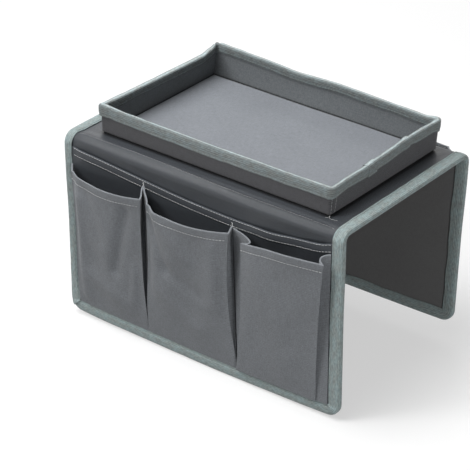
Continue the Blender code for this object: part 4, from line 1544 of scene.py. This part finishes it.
def studio_world():
    """An even grey light all round, seen as white."""
    look = Look(bpy.data.worlds.new("studio"))
    strength = WORLD_STRENGTH + (1 - WORLD_STRENGTH) * seen_directly(look)
    light = look.node("ShaderNodeBackground", values={"Color": WHITE, "Strength": strength})
    return look.shown(light, "ShaderNodeOutputWorld")


def softbox(name, place, size, power):
    """A square area light."""
    lamp = bpy.data.lights.new(name, "AREA")
    lamp.shape = "SQUARE"
    lamp.size = size
    lamp.energy = power
    made = bpy.data.objects.new(name, lamp)
    made.location = place
    made.rotation_euler = (Vector(LAMP_TARGET) - Vector(place)).to_track_quat("-Z", "Y").to_euler()
    bpy.context.scene.collection.objects.link(made)


class ORGANIZER_OT_stage(bpy.types.Operator):
    """Sets up the floor, the lights, the world and the camera"""

    bl_idname = "organizer.stage"
    bl_label = "Stage"

    def execute(self, context):
        bpy.ops.object.select_all(action="DESELECT")
        height = CAD_BOX[0][2] - FLOOR_BELOW
        bpy.ops.mesh.primitive_plane_add(size=FLOOR_SIZE, location=(0.0, 0.0, height))
        floor = context.active_object
        floor.name = "stage_floor"
        bpy.ops.object.transform_apply(location=True)
        floor.data.materials.append(floor_look())
        for lamp in LAMPS:
            softbox(*lamp)
        context.scene.world = studio_world()
        lens = bpy.data.cameras.new("photo_camera")
        lens.sensor_width = 36.0
        lens.lens = 179.99
        lens.shift_x = -0.02823
        lens.shift_y = -0.03926
        lens.clip_end = 50.0
        camera = bpy.data.objects.new("photo_camera", lens)
        camera.location = (1.1707, -1.5347, 0.9842)
        camera.rotation_euler = (math.radians(90.0 - 28.74), 0.0, math.radians(37.81))
        context.scene.collection.objects.link(camera)
        context.scene.camera = camera
        context.scene.view_settings.view_transform = "Standard"
        return {"FINISHED"}


OPERATORS = (
    ORGANIZER_OT_cover,
    ORGANIZER_OT_underside,
    ORGANIZER_OT_tape,
    ORGANIZER_OT_tray,
    ORGANIZER_OT_rim,
    ORGANIZER_OT_flat_pocket,
    ORGANIZER_OT_front_pockets,
    ORGANIZER_OT_rear_pocket,
    ORGANIZER_OT_boards,
    ORGANIZER_OT_stage,
)


class ORGANIZER_PT_panel(bpy.types.Panel):
    """Lists the organizer's pieces, sizes and colours"""

    bl_idname = "ORGANIZER_PT_panel"
    bl_label = "Armrest Organizer"
    bl_space_type = "VIEW_3D"
    bl_region_type = "UI"
    bl_category = "Organizer"

    def draw(self, context):
        for operator in OPERATORS:
            self.layout.operator(operator.bl_idname, text=operator.bl_label)
        for group in (context.scene.organizer_sizes, context.scene.organizer_colours):
            box = self.layout.box()
            for name in group.__annotations__:
                box.prop(group, name)


CLASSES = (OrganizerSizes, OrganizerColours, *OPERATORS, ORGANIZER_PT_panel)


def register():
    for each in CLASSES:
        bpy.utils.register_class(each)
    bpy.types.Scene.organizer_sizes = bpy.props.PointerProperty(type=OrganizerSizes)
    bpy.types.Scene.organizer_colours = bpy.props.PointerProperty(type=OrganizerColours)


def unregister():
    del bpy.types.Scene.organizer_colours
    del bpy.types.Scene.organizer_sizes
    for each in reversed(CLASSES):
        bpy.utils.unregister_class(each)


def main():
    register()
    for operator in OPERATORS:
        group, name = operator.bl_idname.split(".")
        getattr(getattr(bpy.ops, group), name)()


if __name__ == "__main__":
    main()
